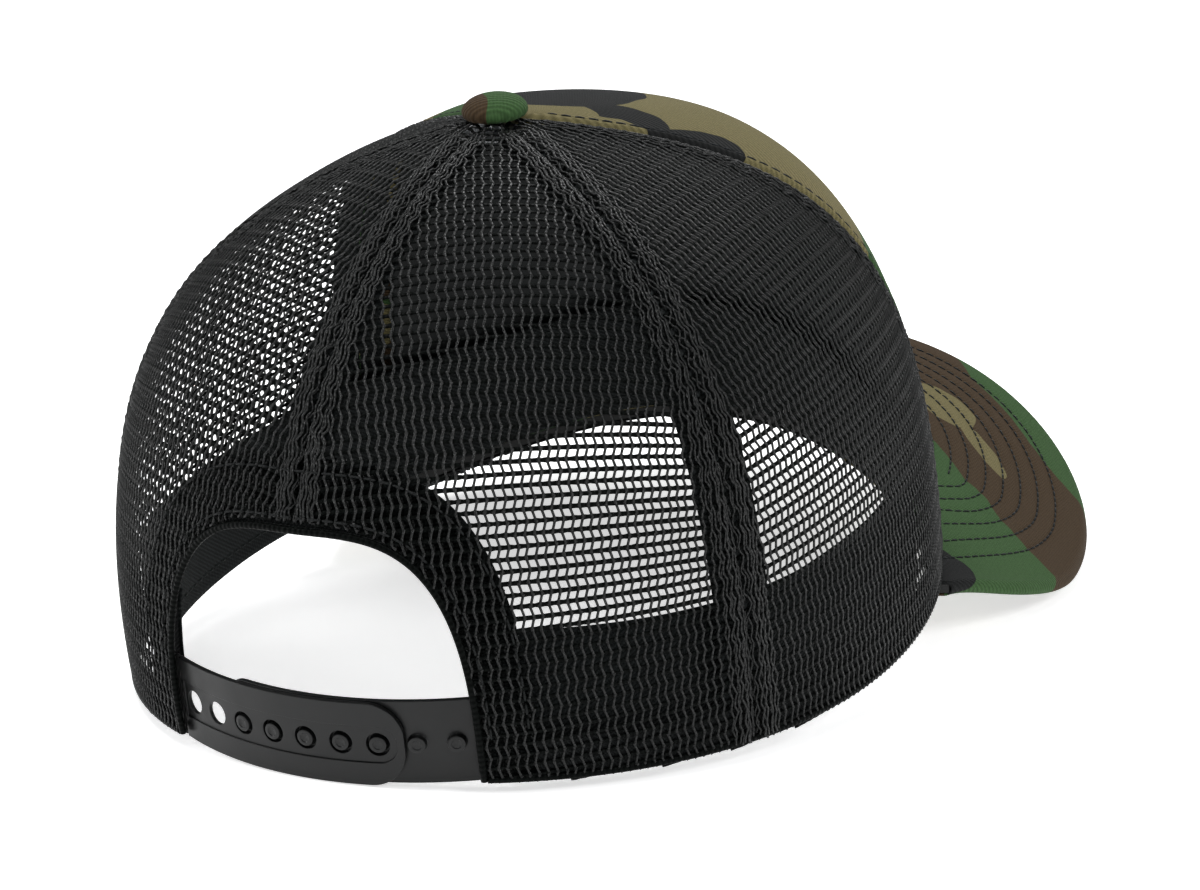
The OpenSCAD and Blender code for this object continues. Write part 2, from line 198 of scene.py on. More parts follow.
def visor_root(u, depth):
    """Points where the visor meets the rim, at a depth under the crown's outside."""
    p = VISOR_SPAN * u
    a = np.radians(p)
    return np.stack(
        [(HALF_W - depth) * np.sin(a), -(HALF_L - depth) * np.cos(a), rim_z(p) - 0.35],
        -1,
    )


def visor(u, s, drop=0.0, trim=0.0):
    """Points of the visor: u across from -1 to 1, s from the rim to the edge, drop under the top."""
    u, s, drop, trim = np.broadcast_arrays(
        *(np.asarray(v, float) for v in (u, s, drop, trim))
    )
    q = np.radians(106 * u)
    x = VISOR_HALF * np.sign(q) * np.abs(np.sin(q)) ** 0.7
    y = VISOR_Y - VISOR_REACH * np.cos(q)
    edge = np.stack(
        [x, y, FRONT_RISE - 3.2 - x * x / (2 * VISOR_BEND) + 0.3 * (y + HALF_L + 62)],
        -1,
    )
    start = visor_root(u, 3.6)
    tuck = (np.maximum(np.abs(u) - 0.72, 0) / 0.28) ** 2.4 * 0.92
    end = edge + (visor_root(u, -1.5) - edge) * tuck[..., None]
    f = s * (1 - trim / np.linalg.norm(end - start, axis=-1))
    point = start + (end - start) * f[..., None]
    point[..., 2] += 5 * f * (1 - f) * (1 - u * u) - drop
    return point


def set_down(points):
    """From millimetres with the rim level to metres with the cap resting on its visor and back rim."""
    x, y, z = points[..., 0], points[..., 1], points[..., 2]
    s, c = math.sin(TILT), math.cos(TILT)
    return np.stack([x, y * c + z * s, z * c - y * s], -1) / 1000


# ---- mesh building ------------------------------------------------------------


def new_piece(
    name, points, faces, uv, material, slot, body="cap", sharp=None, replaces=()
):
    """A mesh object from points in rim millimetres, arrays of faces and a flat place for each point."""
    me = bpy.data.meshes.new(name)
    co = set_down(np.asarray(points, float)).reshape(-1, 3)
    corners = np.concatenate([f.ravel() for f in faces]).astype(np.int32)
    sizes = np.concatenate([np.full(len(f), f.shape[1]) for f in faces])
    me.vertices.add(len(co))
    me.vertices.foreach_set("co", co.astype(np.float32).ravel())
    me.loops.add(len(corners))
    me.loops.foreach_set("vertex_index", corners)
    me.polygons.add(len(sizes))
    me.polygons.foreach_set(
        "loop_start", np.concatenate([[0], np.cumsum(sizes)[:-1]]).astype(np.int32)
    )
    me.update(calc_edges=True)
    me.validate()
    layer = me.uv_layers.new(name="cloth")
    layer.data.foreach_set(
        "uv", np.asarray(uv, np.float32).reshape(-1, 2)[corners].ravel()
    )
    me.shade_smooth()
    if sharp:
        me.set_sharp_from_angle(angle=math.radians(sharp))
    me.materials.append(material)
    ob = bpy.data.objects.new(name, me)
    bpy.context.scene.collection.objects.link(ob)
    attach(ob, body)
    if replaces:
        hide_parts(*replaces)
    return ob


def grid_faces(nu, nv, first=0, flip=False):
    """Quads of a grid of points that runs nv fastest."""
    i, k = np.meshgrid(np.arange(nu - 1), np.arange(nv - 1), indexing="ij")
    a = first + i * nv + k
    order = [a, a + 1, a + nv + 1, a + nv] if flip else [a, a + nv, a + nv + 1, a + 1]
    return np.stack(order, -1).reshape(-1, 4)


def slab(top, low, uv):
    """A closed sheet between two grids, with a rounded turn of two rows along all four sides."""
    nu, nv = top.shape[:2]
    grid = np.arange(nu * nv).reshape(nu, nv)
    loop = np.concatenate([grid[:, 0], grid[-1, 1:], grid[-2::-1, -1], grid[0, -2:0:-1]])
    upper, lower = top.reshape(-1, 3), low.reshape(-1, 3)
    centre_row = (upper[loop] + lower[loop]) / 2
    near = np.concatenate(
        [grid[:, 1], grid[-2, 1:], grid[-2::-1, -2], grid[1, -2:0:-1]]
    )
    out = unit(centre_row - (upper[near] + lower[near]) / 2)
    thick = np.linalg.norm(upper[loop] - lower[loop], axis=1, keepdims=True)
    turn = centre_row + out * thick * 0.35
    n, m = nu * nv, len(loop)
    ring = 2 * n + np.arange(m)
    after = np.roll(ring, -1)
    nxt = np.roll(loop, -1)
    faces = [
        grid_faces(nu, nv),
        grid_faces(nu, nv, n, True),
        np.stack([loop, ring, after, nxt], -1),
        np.stack([ring, loop + n, nxt + n, after], -1),
    ]
    flat = np.asarray(uv, float).reshape(-1, 2)
    return (
        np.concatenate([upper, lower, turn]),
        faces,
        np.concatenate([flat, flat, flat[loop]]),
    )


def tubes(path, normal, half_w, half_h, sides=6):
    """Closed tubes of oval section along many paths of equal length."""
    along = unit(np.gradient(path, axis=1))
    side = unit(np.cross(along, normal))
    out = np.cross(side, along)
    n, k = path.shape[:2]
    half_w = np.broadcast_to(half_w, (n, k))[..., None, None]
    half_h = np.broadcast_to(half_h, (n, k))[..., None, None]
    a = np.arange(sides) * 2 * np.pi / sides
    cos, sin = np.cos(a)[:, None], np.sin(a)[:, None]
    points = (
        path[:, :, None]
        + cos * half_w * side[:, :, None]
        + sin * half_h * out[:, :, None]
    )
    index = np.arange(n * k * sides).reshape(n, k, sides)
    turned = np.roll(index, -1, axis=2)
    quads = np.stack(
        [index[:, :-1], index[:, 1:], turned[:, 1:], turned[:, :-1]], -1
    ).reshape(-1, 4)
    caps = np.concatenate([index[:, 0], index[:, -1, ::-1]])
    step = np.linalg.norm(np.diff(path, axis=1), axis=2)
    run = np.concatenate([np.zeros((n, 1)), np.cumsum(step, 1)], 1)
    uv = np.stack(
        np.broadcast_arrays(run[..., None], (a * 0.25)[None, None]), -1
    ).reshape(-1, 2)
    return points.reshape(-1, 3), [quads, caps], uv


def gather(parts):
    """Joins (points, faces, uv) parts into one."""
    points, faces, uv, first = [], [], [], 0
    for part_points, part_faces, part_uv in parts:
        points.append(part_points)
        uv.append(part_uv)
        faces += [f + first for f in part_faces]
        first += len(part_points)
    return np.concatenate(points), faces, np.concatenate(uv)


def even(path, step):
    """Points every step along a path, with the path's own place numbers for them."""
    run = np.concatenate([[0], np.cumsum(np.linalg.norm(np.diff(path, axis=0), axis=1))])
    count = max(int(round(run[-1] / step)), 2)
    return np.interp(np.linspace(0, run[-1], count + 1), run, np.arange(len(path)))


def at_places(values, places):
    """Values of a row at places between its points."""
    low = np.clip(np.floor(places).astype(int), 0, len(values) - 2)
    f = (places - low)[:, None]
    return values[low] * (1 - f) + values[low + 1] * f


def stitch_row(path, normal, pitch=3.0, cover=0.78, width=0.3, height=0.24, sink=0.0):
    """A row of lock stitches: short thread arcs that dip into the cloth between the needle holes."""
    marks = even(path, pitch)
    share = np.array([0, 0.12, 0.5, 0.88, 1]) * cover + (1 - cover) / 2
    places = marks[:-1, None] + (marks[1:] - marks[:-1])[:, None] * share
    p = at_places(path, places.ravel()).reshape(*places.shape, 3)
    n = unit(at_places(normal, places.ravel()).reshape(*places.shape, 3))
    lift = np.array([-0.3, 0.05, 0.14, 0.05, -0.3]) - sink
    thin = np.array([0.5, 0.95, 1, 0.95, 0.5])
    return tubes(p + n * lift[:, None], n, width * thin, height * thin, 6)


# ---- materials ------------------------------------------------------------------


def linear(code):
    """An sRGB hex colour as linear light."""
    values = [int(code[i : i + 2], 16) / 255 for i in (1, 3, 5)]
    return [
        *(v / 12.92 if v <= 0.04045 else ((v + 0.055) / 1.055) ** 2.4 for v in values),
        1.0,
    ]


def add(tree, kind, links=(), **settings):
    """A node with its settings: names of its own properties, or numbers or names of its inputs."""
    node = tree.nodes.new("ShaderNode" + kind)
    for name, value in settings.items():
        if name.startswith("in_"):
            node.inputs[int(name[3:])].default_value = value
        else:
            setattr(node, name, value)
    for socket, source in dict(links).items():
        tree.links.new(source, node.inputs[socket])
    return node


def blank(name, **surface):
    """A material with its shader, whose plain sockets are set by name."""
    material = bpy.data.materials.new(name)
    material.use_nodes = True
    tree = material.node_tree
    shader = tree.nodes["Principled BSDF"]
    for socket, value in surface.items():
        shader.inputs[socket.replace("_", " ")].default_value = value
    return material, tree, shader


WAVE_TURN = 2 * math.pi / 20  # the wave texture's own period at scale 1


def twill_height(tree, place, pitch, turn):
    """Diagonal ribs of a twill, with the single yarns across them."""
    turned = add(tree, "Mapping", {0: place}, vector_type="POINT", in_2=(0, 0, turn))
    ribs = add(
        tree,
        "TexWave",
        {0: turned.outputs[0]},
        wave_profile="SIN",
        in_1=WAVE_TURN / pitch,
        in_2=0.6,
        in_3=1.0,
        in_4=3.0,
    )
    yarns = add(
        tree,
        "TexWave",
        {0: turned.outputs[0]},
        bands_direction="Y",
        in_1=WAVE_TURN / (pitch * 0.75),
        in_2=0.8,
        in_3=1.0,
        in_4=2.0,
    )
    both = add(
        tree,
        "Math",
        {0: yarns.outputs["Fac"], 2: ribs.outputs["Fac"]},
        operation="MULTIPLY_ADD",
        in_1=0.35,
    )
    return both.outputs[0]


def tint_shade_and_emboss(tree, shader, colour, tone, height, depth, strength):
    """The shader's colour, darker and lighter by a tone that is random tone on some surfaces and painted
    shade and highlight on others, and its relief with a depth in metres.
    """
    # The base colour scaled by the tone: random tone, or painted shade and highlight where the tone
    # follows the relief
    toned_and_shaded = add(tree, "VectorMath", {3: tone.outputs[0]}, operation="SCALE", in_0=colour[:3])
    relief = add(tree, "Bump", {"Height": height}, in_0=strength, in_1=depth)
    tree.links.new(toned_and_shaded.outputs[0], shader.inputs["Base Color"])
    tree.links.new(relief.outputs[0], shader.inputs["Normal"])


def camo_twill(name, patches, colours, pitch=0.78, turn=1.08, offset=(0, 0, 0)):
    """Cotton twill with a printed woodland camouflage: dry, matt ribs in four soft earth colours."""
    material, tree, shader = blank(
        name, Roughness=0.85, Specular_IOR_Level=0.1, Sheen_Weight=0.02
    )
    khaki, green, brown, black = colours
    place = add(tree, "UVMap", uv_map="cloth").outputs[0]
    wobble = add(
        tree, "TexNoise", {0: place}, noise_dimensions="2D", in_2=0.075, in_3=1.0, in_4=0.5
    )
    centred = add(
        tree,
        "VectorMath",
        {0: wobble.outputs["Color"]},
        operation="SUBTRACT",
        in_1=(0.5, 0.5, 0.5),
    )
    moved = add(
        tree,
        "VectorMath",
        {0: centred.outputs[0], 2: place},
        operation="MULTIPLY_ADD",
        in_1=(3.5, 3.5, 0),
    )
    colour = add(tree, "RGB")
    colour.outputs[0].default_value = khaki
    colour = colour.outputs[0]
    # Three broad layers of print, in blotches about 50 mm long and 28 mm high
    for k, (ink, level) in enumerate(((green, 0.53), (brown, 0.55), (black, 0.6))):
        shifted = add(
            tree,
            "Mapping",
            {0: moved.outputs[0]},
            in_1=(offset[k] + 31 * k, 17 * k, 0),
            in_2=(0, 0, 0.5 * k - 0.4),
            in_3=(0.55, 1.0, 1),
        )
        blobs = add(
            tree,
            "TexNoise",
            {0: shifted.outputs[0]},
            noise_dimensions="2D",
            in_2=0.035,
            in_3=1.0,
        )
        inside = add(
            tree,
            "Math",
            {0: blobs.outputs["Fac"]},
            operation="GREATER_THAN",
            in_1=level,
        )
        mixed = add(
            tree,
            "Mix",
            {0: inside.outputs[0], 6: colour},
            data_type="RGBA",
            in_7=ink,
        )
        colour = mixed.outputs[2]
    # Printed shapes in their own places: ink, centre, half sizes in millimetres and turn in degrees
    inks = {"khaki": khaki, "green": green, "brown": brown, "black": black}
    for ink, centre, half, angle in patches:
        shape = add(
            tree,
            "Mapping",
            {0: moved.outputs[0]},
            vector_type="TEXTURE",
            in_1=(*centre, 0),
            in_2=(0, 0, math.radians(angle)),
            in_3=(*half, 1),
        )
        reach = add(tree, "VectorMath", {0: shape.outputs[0]}, operation="LENGTH")
        inside = add(
            tree, "Math", {0: reach.outputs[1]}, operation="LESS_THAN", in_1=1.0
        )
        mixed = add(
            tree,
            "Mix",
            {0: inside.outputs[0], 6: colour},
            data_type="RGBA",
            in_7=inks[ink],
        )
        colour = mixed.outputs[2]
    height = twill_height(tree, place, pitch, turn)
    # Painted shade and highlight: the valleys between the ribs are darkened and the ribs are lightened
    shade = add(
        tree, "MapRange", {0: height}, in_1=0.0, in_2=1.35, in_3=0.7, in_4=1.16
    )
    fuzz = add(
        tree, "TexNoise", {0: place}, noise_dimensions="2D", in_2=1.6, in_3=2.0
    )
    worn = add(
        tree, "MapRange", {0: fuzz.outputs["Fac"]}, in_1=0.3, in_2=0.7, in_3=0.88, in_4=1.12
    )
    # The painted shade and highlight of the ribs, times the random tone of the fuzz
    amount = add(
        tree,
        "Math",
        {0: shade.outputs[0], 1: worn.outputs[0]},
        operation="MULTIPLY",
    )
    toned = add(
        tree,
        "VectorMath",
        {0: colour, 3: amount.outputs[0]},
        operation="SCALE",
    )
    tree.links.new(toned.outputs[0], shader.inputs["Base Color"])
    relief = add(tree, "Bump", {"Height": height}, in_0=0.8, in_1=0.00016)
    tree.links.new(relief.outputs[0], shader.inputs["Normal"])
    return material


def black_twill(name, code="#17191a", pitch=0.9, turn=0.9, rough=0.8):
    """Dyed cotton twill: almost black, with a faint grey painted highlight on its ribs and painted shade
    between them.
    """
    material, tree, shader = blank(
        name, Roughness=rough, Specular_IOR_Level=0.1, Sheen_Weight=0.03
    )
    place = add(tree, "UVMap", uv_map="cloth").outputs[0]
    height = twill_height(tree, place, pitch, turn)
    # Painted highlight on the twill's ribs and painted shade in the valleys between them, from the
    # weave's height
    tone = add(tree, "MapRange", {0: height}, in_1=0.0, in_2=1.35, in_3=0.55, in_4=1.5)
    tint_shade_and_emboss(tree, shader, linear(code), tone, height, 0.00018, 0.9)
    return material


def net_yarn(name, colour):
    """Knitted polyester yarn: black filament with a satin shine along its fibres."""
    material, tree, shader = blank(name, Roughness=0.35, Specular_IOR_Level=0.2)
    place = add(tree, "UVMap", uv_map="cloth").outputs[0]
    # The loops of the chain lie one every 1.2 mm, and the filaments are drawn coarse enough to show
    loops = add(
        tree,
        "TexWave",
        {0: place},
        wave_profile="SIN",
        in_1=WAVE_TURN / 1.2,
        in_2=1.2,
        in_3=1.0,
        in_4=2.0,
    )
    fibres = add(
        tree,
        "TexNoise",
        {0: place},
        noise_dimensions="2D",
        in_2=5.0,
        in_3=2.0,
    )
    height = add(
        tree,
        "Math",
        {0: fibres.outputs["Fac"], 2: loops.outputs["Fac"]},
        operation="MULTIPLY_ADD",
        in_1=0.5,
    )
    # Painted shade and highlight: the colour is lighter on the chain's loop crests and darker between
    # them, with random tone from the fibres
    tone = add(
        tree, "MapRange", {0: height.outputs[0]}, in_1=0.2, in_2=1.4, in_3=0.6, in_4=1.5
    )
    # The raised zigzag threads are bright filament, and the flat ribs between them are dull
    split = add(tree, "SeparateXYZ", {0: place})
    raised = add(tree, "Math", {0: split.outputs[1]}, operation="GREATER_THAN", in_1=THREAD_V / 2)
    shine = add(tree, "MapRange", {0: raised.outputs[0]}, in_3=0.03, in_4=0.36)
    tree.links.new(shine.outputs[0], shader.inputs["Specular IOR Level"])
    gloss = add(
        tree, "MapRange", {0: fibres.outputs["Fac"]}, in_1=0.3, in_2=0.7, in_3=0.26, in_4=0.46
    )
    tree.links.new(gloss.outputs[0], shader.inputs["Roughness"])
    tint_shade_and_emboss(tree, shader, colour, tone, height.outputs[0], 0.0002, 0.7)
    return material


def thread(name, code):
    """Spun polyester sewing thread: a twisted two-ply yarn with a soft shine."""
    material, tree, shader = blank(name, Roughness=0.6, Specular_IOR_Level=0.15)
    place = add(tree, "UVMap", uv_map="cloth").outputs[0]
    turned = add(tree, "Mapping", {0: place}, in_2=(0, 0, 0.7))
    plies = add(
        tree, "TexWave", {0: turned.outputs[0]}, in_1=WAVE_TURN / 0.5, in_2=0.4
    )
    # Painted shade and highlight: the colour is darker in the grooves between the twisted plies and
    # lighter on them
    tone = add(
        tree, "MapRange", {0: plies.outputs["Fac"]}, in_3=0.6, in_4=1.4
    )
    tint_shade_and_emboss(tree, shader, linear(code), tone, plies.outputs["Fac"], 0.00006, 0.8)
    return material


def lining_foam(name):
    """Foam-backed tricot: a fine close knit, nearly black, that turns grey where light grazes it."""
    material, tree, shader = blank(
        name, Roughness=0.5, Specular_IOR_Level=0.18, Sheen_Weight=0.05
    )
    place = add(tree, "UVMap", uv_map="cloth").outputs[0]
    knit = add(
        tree,
        "TexVoronoi",
        {0: place},
        voronoi_dimensions="2D",
        in_2=1.4,
    )
    soft = add(tree, "TexNoise", {0: place}, noise_dimensions="2D", in_2=0.05, in_3=3.0)
    tone = add(
        tree, "MapRange", {0: soft.outputs["Fac"]}, in_1=0.3, in_2=0.7, in_3=0.75, in_4=1.3
    )
    tint_shade_and_emboss(tree, shader, linear("#171a1a"), tone, knit.outputs["Distance"], 0.00008, 0.6)
    return material


def moulded_plastic(name, code="#0e0f0f", rough=0.36):
    """Low-density polyethylene, moulded with a fine spark finish: satin black with soft scuffs."""
    material, tree, shader = blank(name, Roughness=rough, Specular_IOR_Level=0.28, IOR=1.51)
    coords = add(tree, "TexCoord").outputs["Object"]
    # Spark grain of about 0.3 mm, and handling marks 3 to 10 mm long
    grain = add(tree, "TexNoise", {0: coords}, in_2=3200.0, in_3=2.0)
    marks = add(tree, "TexNoise", {0: coords}, in_2=160.0, in_3=4.0, in_4=0.6)
    gloss = add(
        tree,
        "MapRange",
        {0: marks.outputs["Fac"]},
        in_1=0.3,
        in_2=0.7,
        in_3=rough - 0.07,
        in_4=rough + 0.1,
    )
    tree.links.new(gloss.outputs[0], shader.inputs["Roughness"])
    tone = add(
        tree, "MapRange", {0: marks.outputs["Fac"]}, in_1=0.3, in_2=0.7, in_3=0.85, in_4=1.2
    )
    tint_shade_and_emboss(tree, shader, linear(code), tone, grain.outputs["Fac"], 0.00003, 0.5)
    return material


def plated_steel(name):
    """Zinc-plated pressed steel: bright grey with a faint brushed cloudiness."""
    material, tree, shader = blank(name, Metallic=1.0, Roughness=0.35)
    coords = add(tree, "TexCoord").outputs["Object"]
    cloud = add(tree, "TexNoise", {0: coords}, in_2=400.0, in_3=3.0)
    gloss = add(
        tree, "MapRange", {0: cloud.outputs["Fac"]}, in_1=0.3, in_2=0.7, in_3=0.25, in_4=0.5
    )
    tree.links.new(gloss.outputs[0], shader.inputs["Roughness"])
    tone = add(
        tree, "MapRange", {0: cloud.outputs["Fac"]}, in_1=0.3, in_2=0.7, in_3=0.8, in_4=1.05
    )
    tint_shade_and_emboss(tree, shader, linear("#b9bbbd"), tone, cloud.outputs["Fac"], 0.00002, 0.4)
    return material


# ---- settings that a user would change --------------------------------------------


class NetSettings(bpy.types.PropertyGroup):
    """Sizes and colour of the net"""
    row_pitch: FloatProperty(
        name="Row pitch", description="Distance between the ribs of the net, in mm", default=2.4
    )
    rib_width: FloatProperty(
        name="Rib width", description="Height of one flat rib, in mm", default=0.98
    )
    thread_pitch: FloatProperty(
        name="Thread pitch", description="Distance between the linking threads, in mm", default=1.87
    )
    thread_width: FloatProperty(
        name="Thread width", description="Width of a linking thread, in mm", default=0.58
    )
    zigzag: FloatProperty(
        name="Zigzag", description="Sideways step of a thread from rib to rib, in mm", default=0.62
    )
    colour: FloatVectorProperty(
        name="Net colour",
        description="Colour of the polyester yarn",
        subtype="COLOR",
        size=4,
        min=0,
        max=1,
        default=linear("#070908"),
    )


class CamoSettings(bpy.types.PropertyGroup):
    """Colours of the printed camouflage and the pitch of its twill"""
    khaki: FloatVectorProperty(
        name="Khaki",
        description="Ground of the print",
        subtype="COLOR",
        size=4,
        default=linear("#6a6344"),
    )
    green: FloatVectorProperty(
        name="Green",
        description="Green of the print",
        subtype="COLOR",
        size=4,
        default=linear("#37512f"),
    )
    brown: FloatVectorProperty(
        name="Brown",
        description="Brown of the print",
        subtype="COLOR",
        size=4,
        default=linear("#3e3122"),
    )
    black: FloatVectorProperty(
        name="Black",
        description="Black of the print",
        subtype="COLOR",
        size=4,
        default=linear("#1b1c1c"),
    )
    twill_pitch: FloatProperty(
        name="Twill pitch",
        description="Distance between the ribs of the twill, in mm",
        default=0.78,
    )


class StitchSettings(bpy.types.PropertyGroup):
    """Sizes of the stitches and the spacing of the visor's rows"""
    pitch: FloatProperty(
        name="Stitch pitch", description="Length of one stitch with its gap, in mm", default=3.0
    )
    width: FloatProperty(
        name="Thread half width", description="Half width of the thread, in mm", default=0.24
    )
    visor_rows: IntProperty(
        name="Visor rows", description="Rows of stitching on the visor", default=9, min=1
    )
    visor_first: FloatProperty(
        name="First row",
        description="Distance of the outer row from the visor's edge, in mm",
        default=7.6,
    )
    visor_step: FloatProperty(
        name="Row spacing", description="Distance between the rows on the visor, in mm", default=4.2
    )
    visor_side: FloatProperty(
        name="Side spread",
        description="Share by which the rows lie wider at the visor's sides",
        default=0.6,
    )


class StageSettings(bpy.types.PropertyGroup):
    """The camera's lens and the size of the floor"""
    lens: FloatProperty(
        name="Lens", description="Focal length of the camera, in mm", default=102.4
    )
    floor_size: FloatProperty(
        name="Floor",
        description="Side of the floor",
        default=12.0,
        subtype="DISTANCE",
        unit="LENGTH",
    )


# ---- net panels ---------------------------------------------------------------------


def gore_rows(centre, half, pitch, low_place, first):
    """Straight rows of the cloth across a gore, square to its centre: angles, places, runs in mm."""
    t = np.linspace(-0.12, 1, 700)
    spine = crown(centre, t)
    run = np.concatenate([[0], np.cumsum(np.linalg.norm(np.diff(spine, axis=0), axis=1))])
    run -= np.interp(0, t, run)
    p = np.linspace(centre - half, centre + half, 241)
    rows = []
    for height in np.arange(first, run[-1], pitch):
        t0 = np.interp(height, run, t)
        here = crown(centre, t0)
        along = unit(crown(centre, min(t0 + 0.004, 1.0)) - crown(centre, t0 - 0.004))
        low, high = np.full(p.shape, -0.2), np.full(p.shape, 0.9999)
        for _ in range(22):
            mid = (low + high) / 2
            under = (crown(p, mid) - here) @ along < 0
            low, high = np.where(under, mid, low), np.where(under, high, mid)
        place = (low + high) / 2
        line = crown(p, place)
        b = np.concatenate([[0], np.cumsum(np.linalg.norm(np.diff(line, axis=0), axis=1))])
        b -= b[120]
        keep = (place >= low_place(p)) & (place <= top_place(p, CROWN_HOLE))
        rows.append((p, place, b, keep))
    return rows


def seam_dip(p, t, edges):
    """Depth of the cloth where it turns in at a seam."""
    flat = crown(p, t)
    radius = np.hypot(flat[..., 0], flat[..., 1] - BUTTON_Y)
    dip = 0.0 * flat[..., 0]
    for edge in edges:
        gap = np.radians(np.abs(p - edge)) * radius
        dip += 0.6 * np.exp(-((gap / 0.9) ** 2)) - 0.3 * np.exp(-(((gap - 2.4) / 1.4) ** 2))
    return dip


def net_parts(centre, half, low_place, net, depth, draw, first=-8.0, mask=None, edges=()):
    """Flat ribs, with the zigzag threads that cross them, of one piece of net."""
    rows = gore_rows(centre, half, net.row_pitch, low_place, first)
    parts = []
    low_p, high_p = centre - half, centre + half
    for i, (p, place, b, keep) in enumerate(rows):
        if mask is not None:
            keep = keep & mask(p, place)
        shift = net.zigzag * (i % 2)
        marks = np.flatnonzero(np.diff(np.concatenate([[0], keep, [0]])))
        for start, stop in zip(marks[::2], marks[1::2]):
            if stop - start < 3 or b[stop - 1] - b[start] < 1.2:
                continue
            count = max(int((b[stop - 1] - b[start]) / net.thread_pitch * 2), 4)
            run = np.linspace(b[start], b[stop - 1], count)
            pp, tt = np.interp(run, b, p), np.interp(run, b, place)
            knots = np.cos(2 * np.pi * (run - shift) / net.thread_pitch)
            inset = depth + 0.1 + seam_dip(pp, tt, edges)
            normal = crown_normal(pp, tt)
            path = crown(pp, tt) - normal * inset[:, None]
            wide = net.rib_width / 2 * (1 + 0.16 * knots + draw.normal(0, 0.03, run.shape))
            points, faces, uv = tubes(
                path[None], normal[None], wide[None], np.full((1, len(run)), 0.22), 6
            )
            parts.append((points, faces, uv + [run[0], 0]))
    for i in range(len(rows) - 1):
        p0, t0, b0, _ = rows[i]
        p1, t1, b1, _ = rows[i + 1]
        reach = net.thread_pitch * int(max(b0[-1], b1[-1], -b0[0], -b1[0]) / net.thread_pitch + 1)
        at = np.arange(-reach, reach + 1, net.thread_pitch)
        stray = draw.normal(0, 0.05, at.shape)
        here, there = at + net.zigzag * (i % 2), at + net.zigzag * ((i + 1) % 2)
        ends = [
            (np.interp(here, b0, p0), np.interp(here, b0, t0)),
            (np.interp(there, b1, p1), np.interp(there, b1, t1)),
        ]
        f = np.array([-0.06, 0.28, 0.72, 1.06])
        bow = np.array([0, -0.5, 0.5, 0])[None] * 0.04 * (there - here)[:, None]
        pp = ends[0][0][:, None] * (1 - f) + ends[1][0][:, None] * f + bow + stray[:, None]
        tt = ends[0][1][:, None] * (1 - f) + ends[1][1][:, None] * f
        inside = (
            (tt[:, 2] >= low_place(pp[:, 2]))
            & (tt[:, 1] <= top_place(pp[:, 1], CROWN_HOLE))
            & (here > max(b0[0], b1[0]) - 0.4)
            & (here < min(b0[-1], b1[-1]) + 0.4)
        )
        if mask is not None:
            inside &= mask(pp[:, 2], tt[:, 2])
        pp, tt = np.clip(pp[inside], low_p, high_p), tt[inside]
        if not len(pp):
            continue
        tt = np.maximum(tt, low_place(pp) + 0.002)
        normal = crown_normal(pp, tt)
        inset = depth - 0.06 + seam_dip(pp, tt, edges)
        path = crown(pp, tt) - normal * inset[..., None]
        wide = net.thread_width / 2 * np.array([1.5, 1.0, 1.0, 1.5])
        points, faces, uv = tubes(path, normal, wide[None], np.array([[0.24, 0.26, 0.26, 0.24]]), 5)
        parts.append((points, faces, uv + [0, THREAD_V]))
    return parts


def seam_strands(edge, inward, low_place, draw, count=5):
    """The yarns that bunch up beside a seam, where the net is doubled and drawn together."""
    parts = []
    for k in range(count):
        t = np.linspace(float(low_place(np.array([edge]))[0]) + 0.004, top_place(edge, 0.12), 150)
        spot = crown(edge, t)
        radius = np.hypot(spot[:, 0], spot[:, 1] - BUTTON_Y)
        run = np.concatenate([[0], np.cumsum(np.linalg.norm(np.diff(spot, axis=0), axis=1))])
        gap = 0.75 + 1.0 * k + 0.34 * np.sin(run * 2 * np.pi / 4.8 + 0.4 * k)
        gap = gap + np.convolve(draw.normal(0, 0.22, t.shape), [0.25, 0.5, 0.25], "same")
        p = edge + inward * np.degrees(gap / radius)
        normal = crown_normal(p, t)
        sunk = 0.12 + seam_dip(p, t, (edge,)) + 0.12 * np.sin(run * 2 * np.pi / 2.4 + k)
        path = crown(p, t) - normal * sunk[:, None]
        wide, high = np.full((1, 150), 0.27), np.full((1, 150), 0.24)
        points, faces, uv = tubes(path[None], normal[None], wide, high, 5)
        parts.append((points, faces, uv + [0, THREAD_V]))
    return parts


def edge_bead(p, t, depth, wide, high):
    """A folded edge of the net, as one thick rounded cord."""
    normal = crown_normal(p, t)
    path = crown(p, t) - normal * depth
    return tubes(
        path[None], normal[None], np.full((1, len(p)), wide), np.full((1, len(p)), high), 10
    )


def rear_low(p):
    """Lower limit of the rear panels: the rim, or the arch of the opening."""
    z = arch_z(p)
    return np.where(z > rim_z(p) + 1e-6, place_at(p, z, 0.3), 0.0)


def flipped(parts):
    """The same parts on the other side."""
    return [(points * [-1, 1, 1], [f[:, ::-1] for f in faces], uv) for points, faces, uv in parts]


class CAP_OT_net_panels(bpy.types.Operator):
    """Builds the four panels of net between the seams"""

    bl_idname = "cap.net_panels"
    bl_label = "Net panels"

    def execute(self, context):
        net = context.scene.cap_net
        yarn = net_yarn("Knitted polyester net", net.colour)
        draw = np.random.default_rng(7)
        sides = {"side": (90, np.zeros_like, (60, 120)), "rear": (150, rear_low, (120, 180))}
        for side, (centre, low, edges) in sides.items():
            for hand, mirror in (("left", False), ("right", True)):
                parts = net_parts(centre, 30, low, net, 0.36, draw, -8.0, None, edges)
                for edge, inward in ((edges[0], 1), (edges[1], -1)):
                    parts += seam_strands(edge, inward, low, draw)
                p = np.linspace(centre - 30, centre + 30, 140)
                if side == "rear":
                    p = p[p < 180 - ARCH_ANGLE]
                parts.append(edge_bead(p, np.full(p.shape, 0.004), 0.55, 0.75, 0.6))
                if mirror:
                    parts = flipped(parts)
                points, faces, uv = gather(parts)
                ob = new_piece(
                    f"net_{side}_{hand}",
                    points,
                    faces,
                    uv,
                    yarn,
                    "mesh",
                    replaces=[f"mesh_{side}_{hand}"],
                )
        return {"FINISHED"}


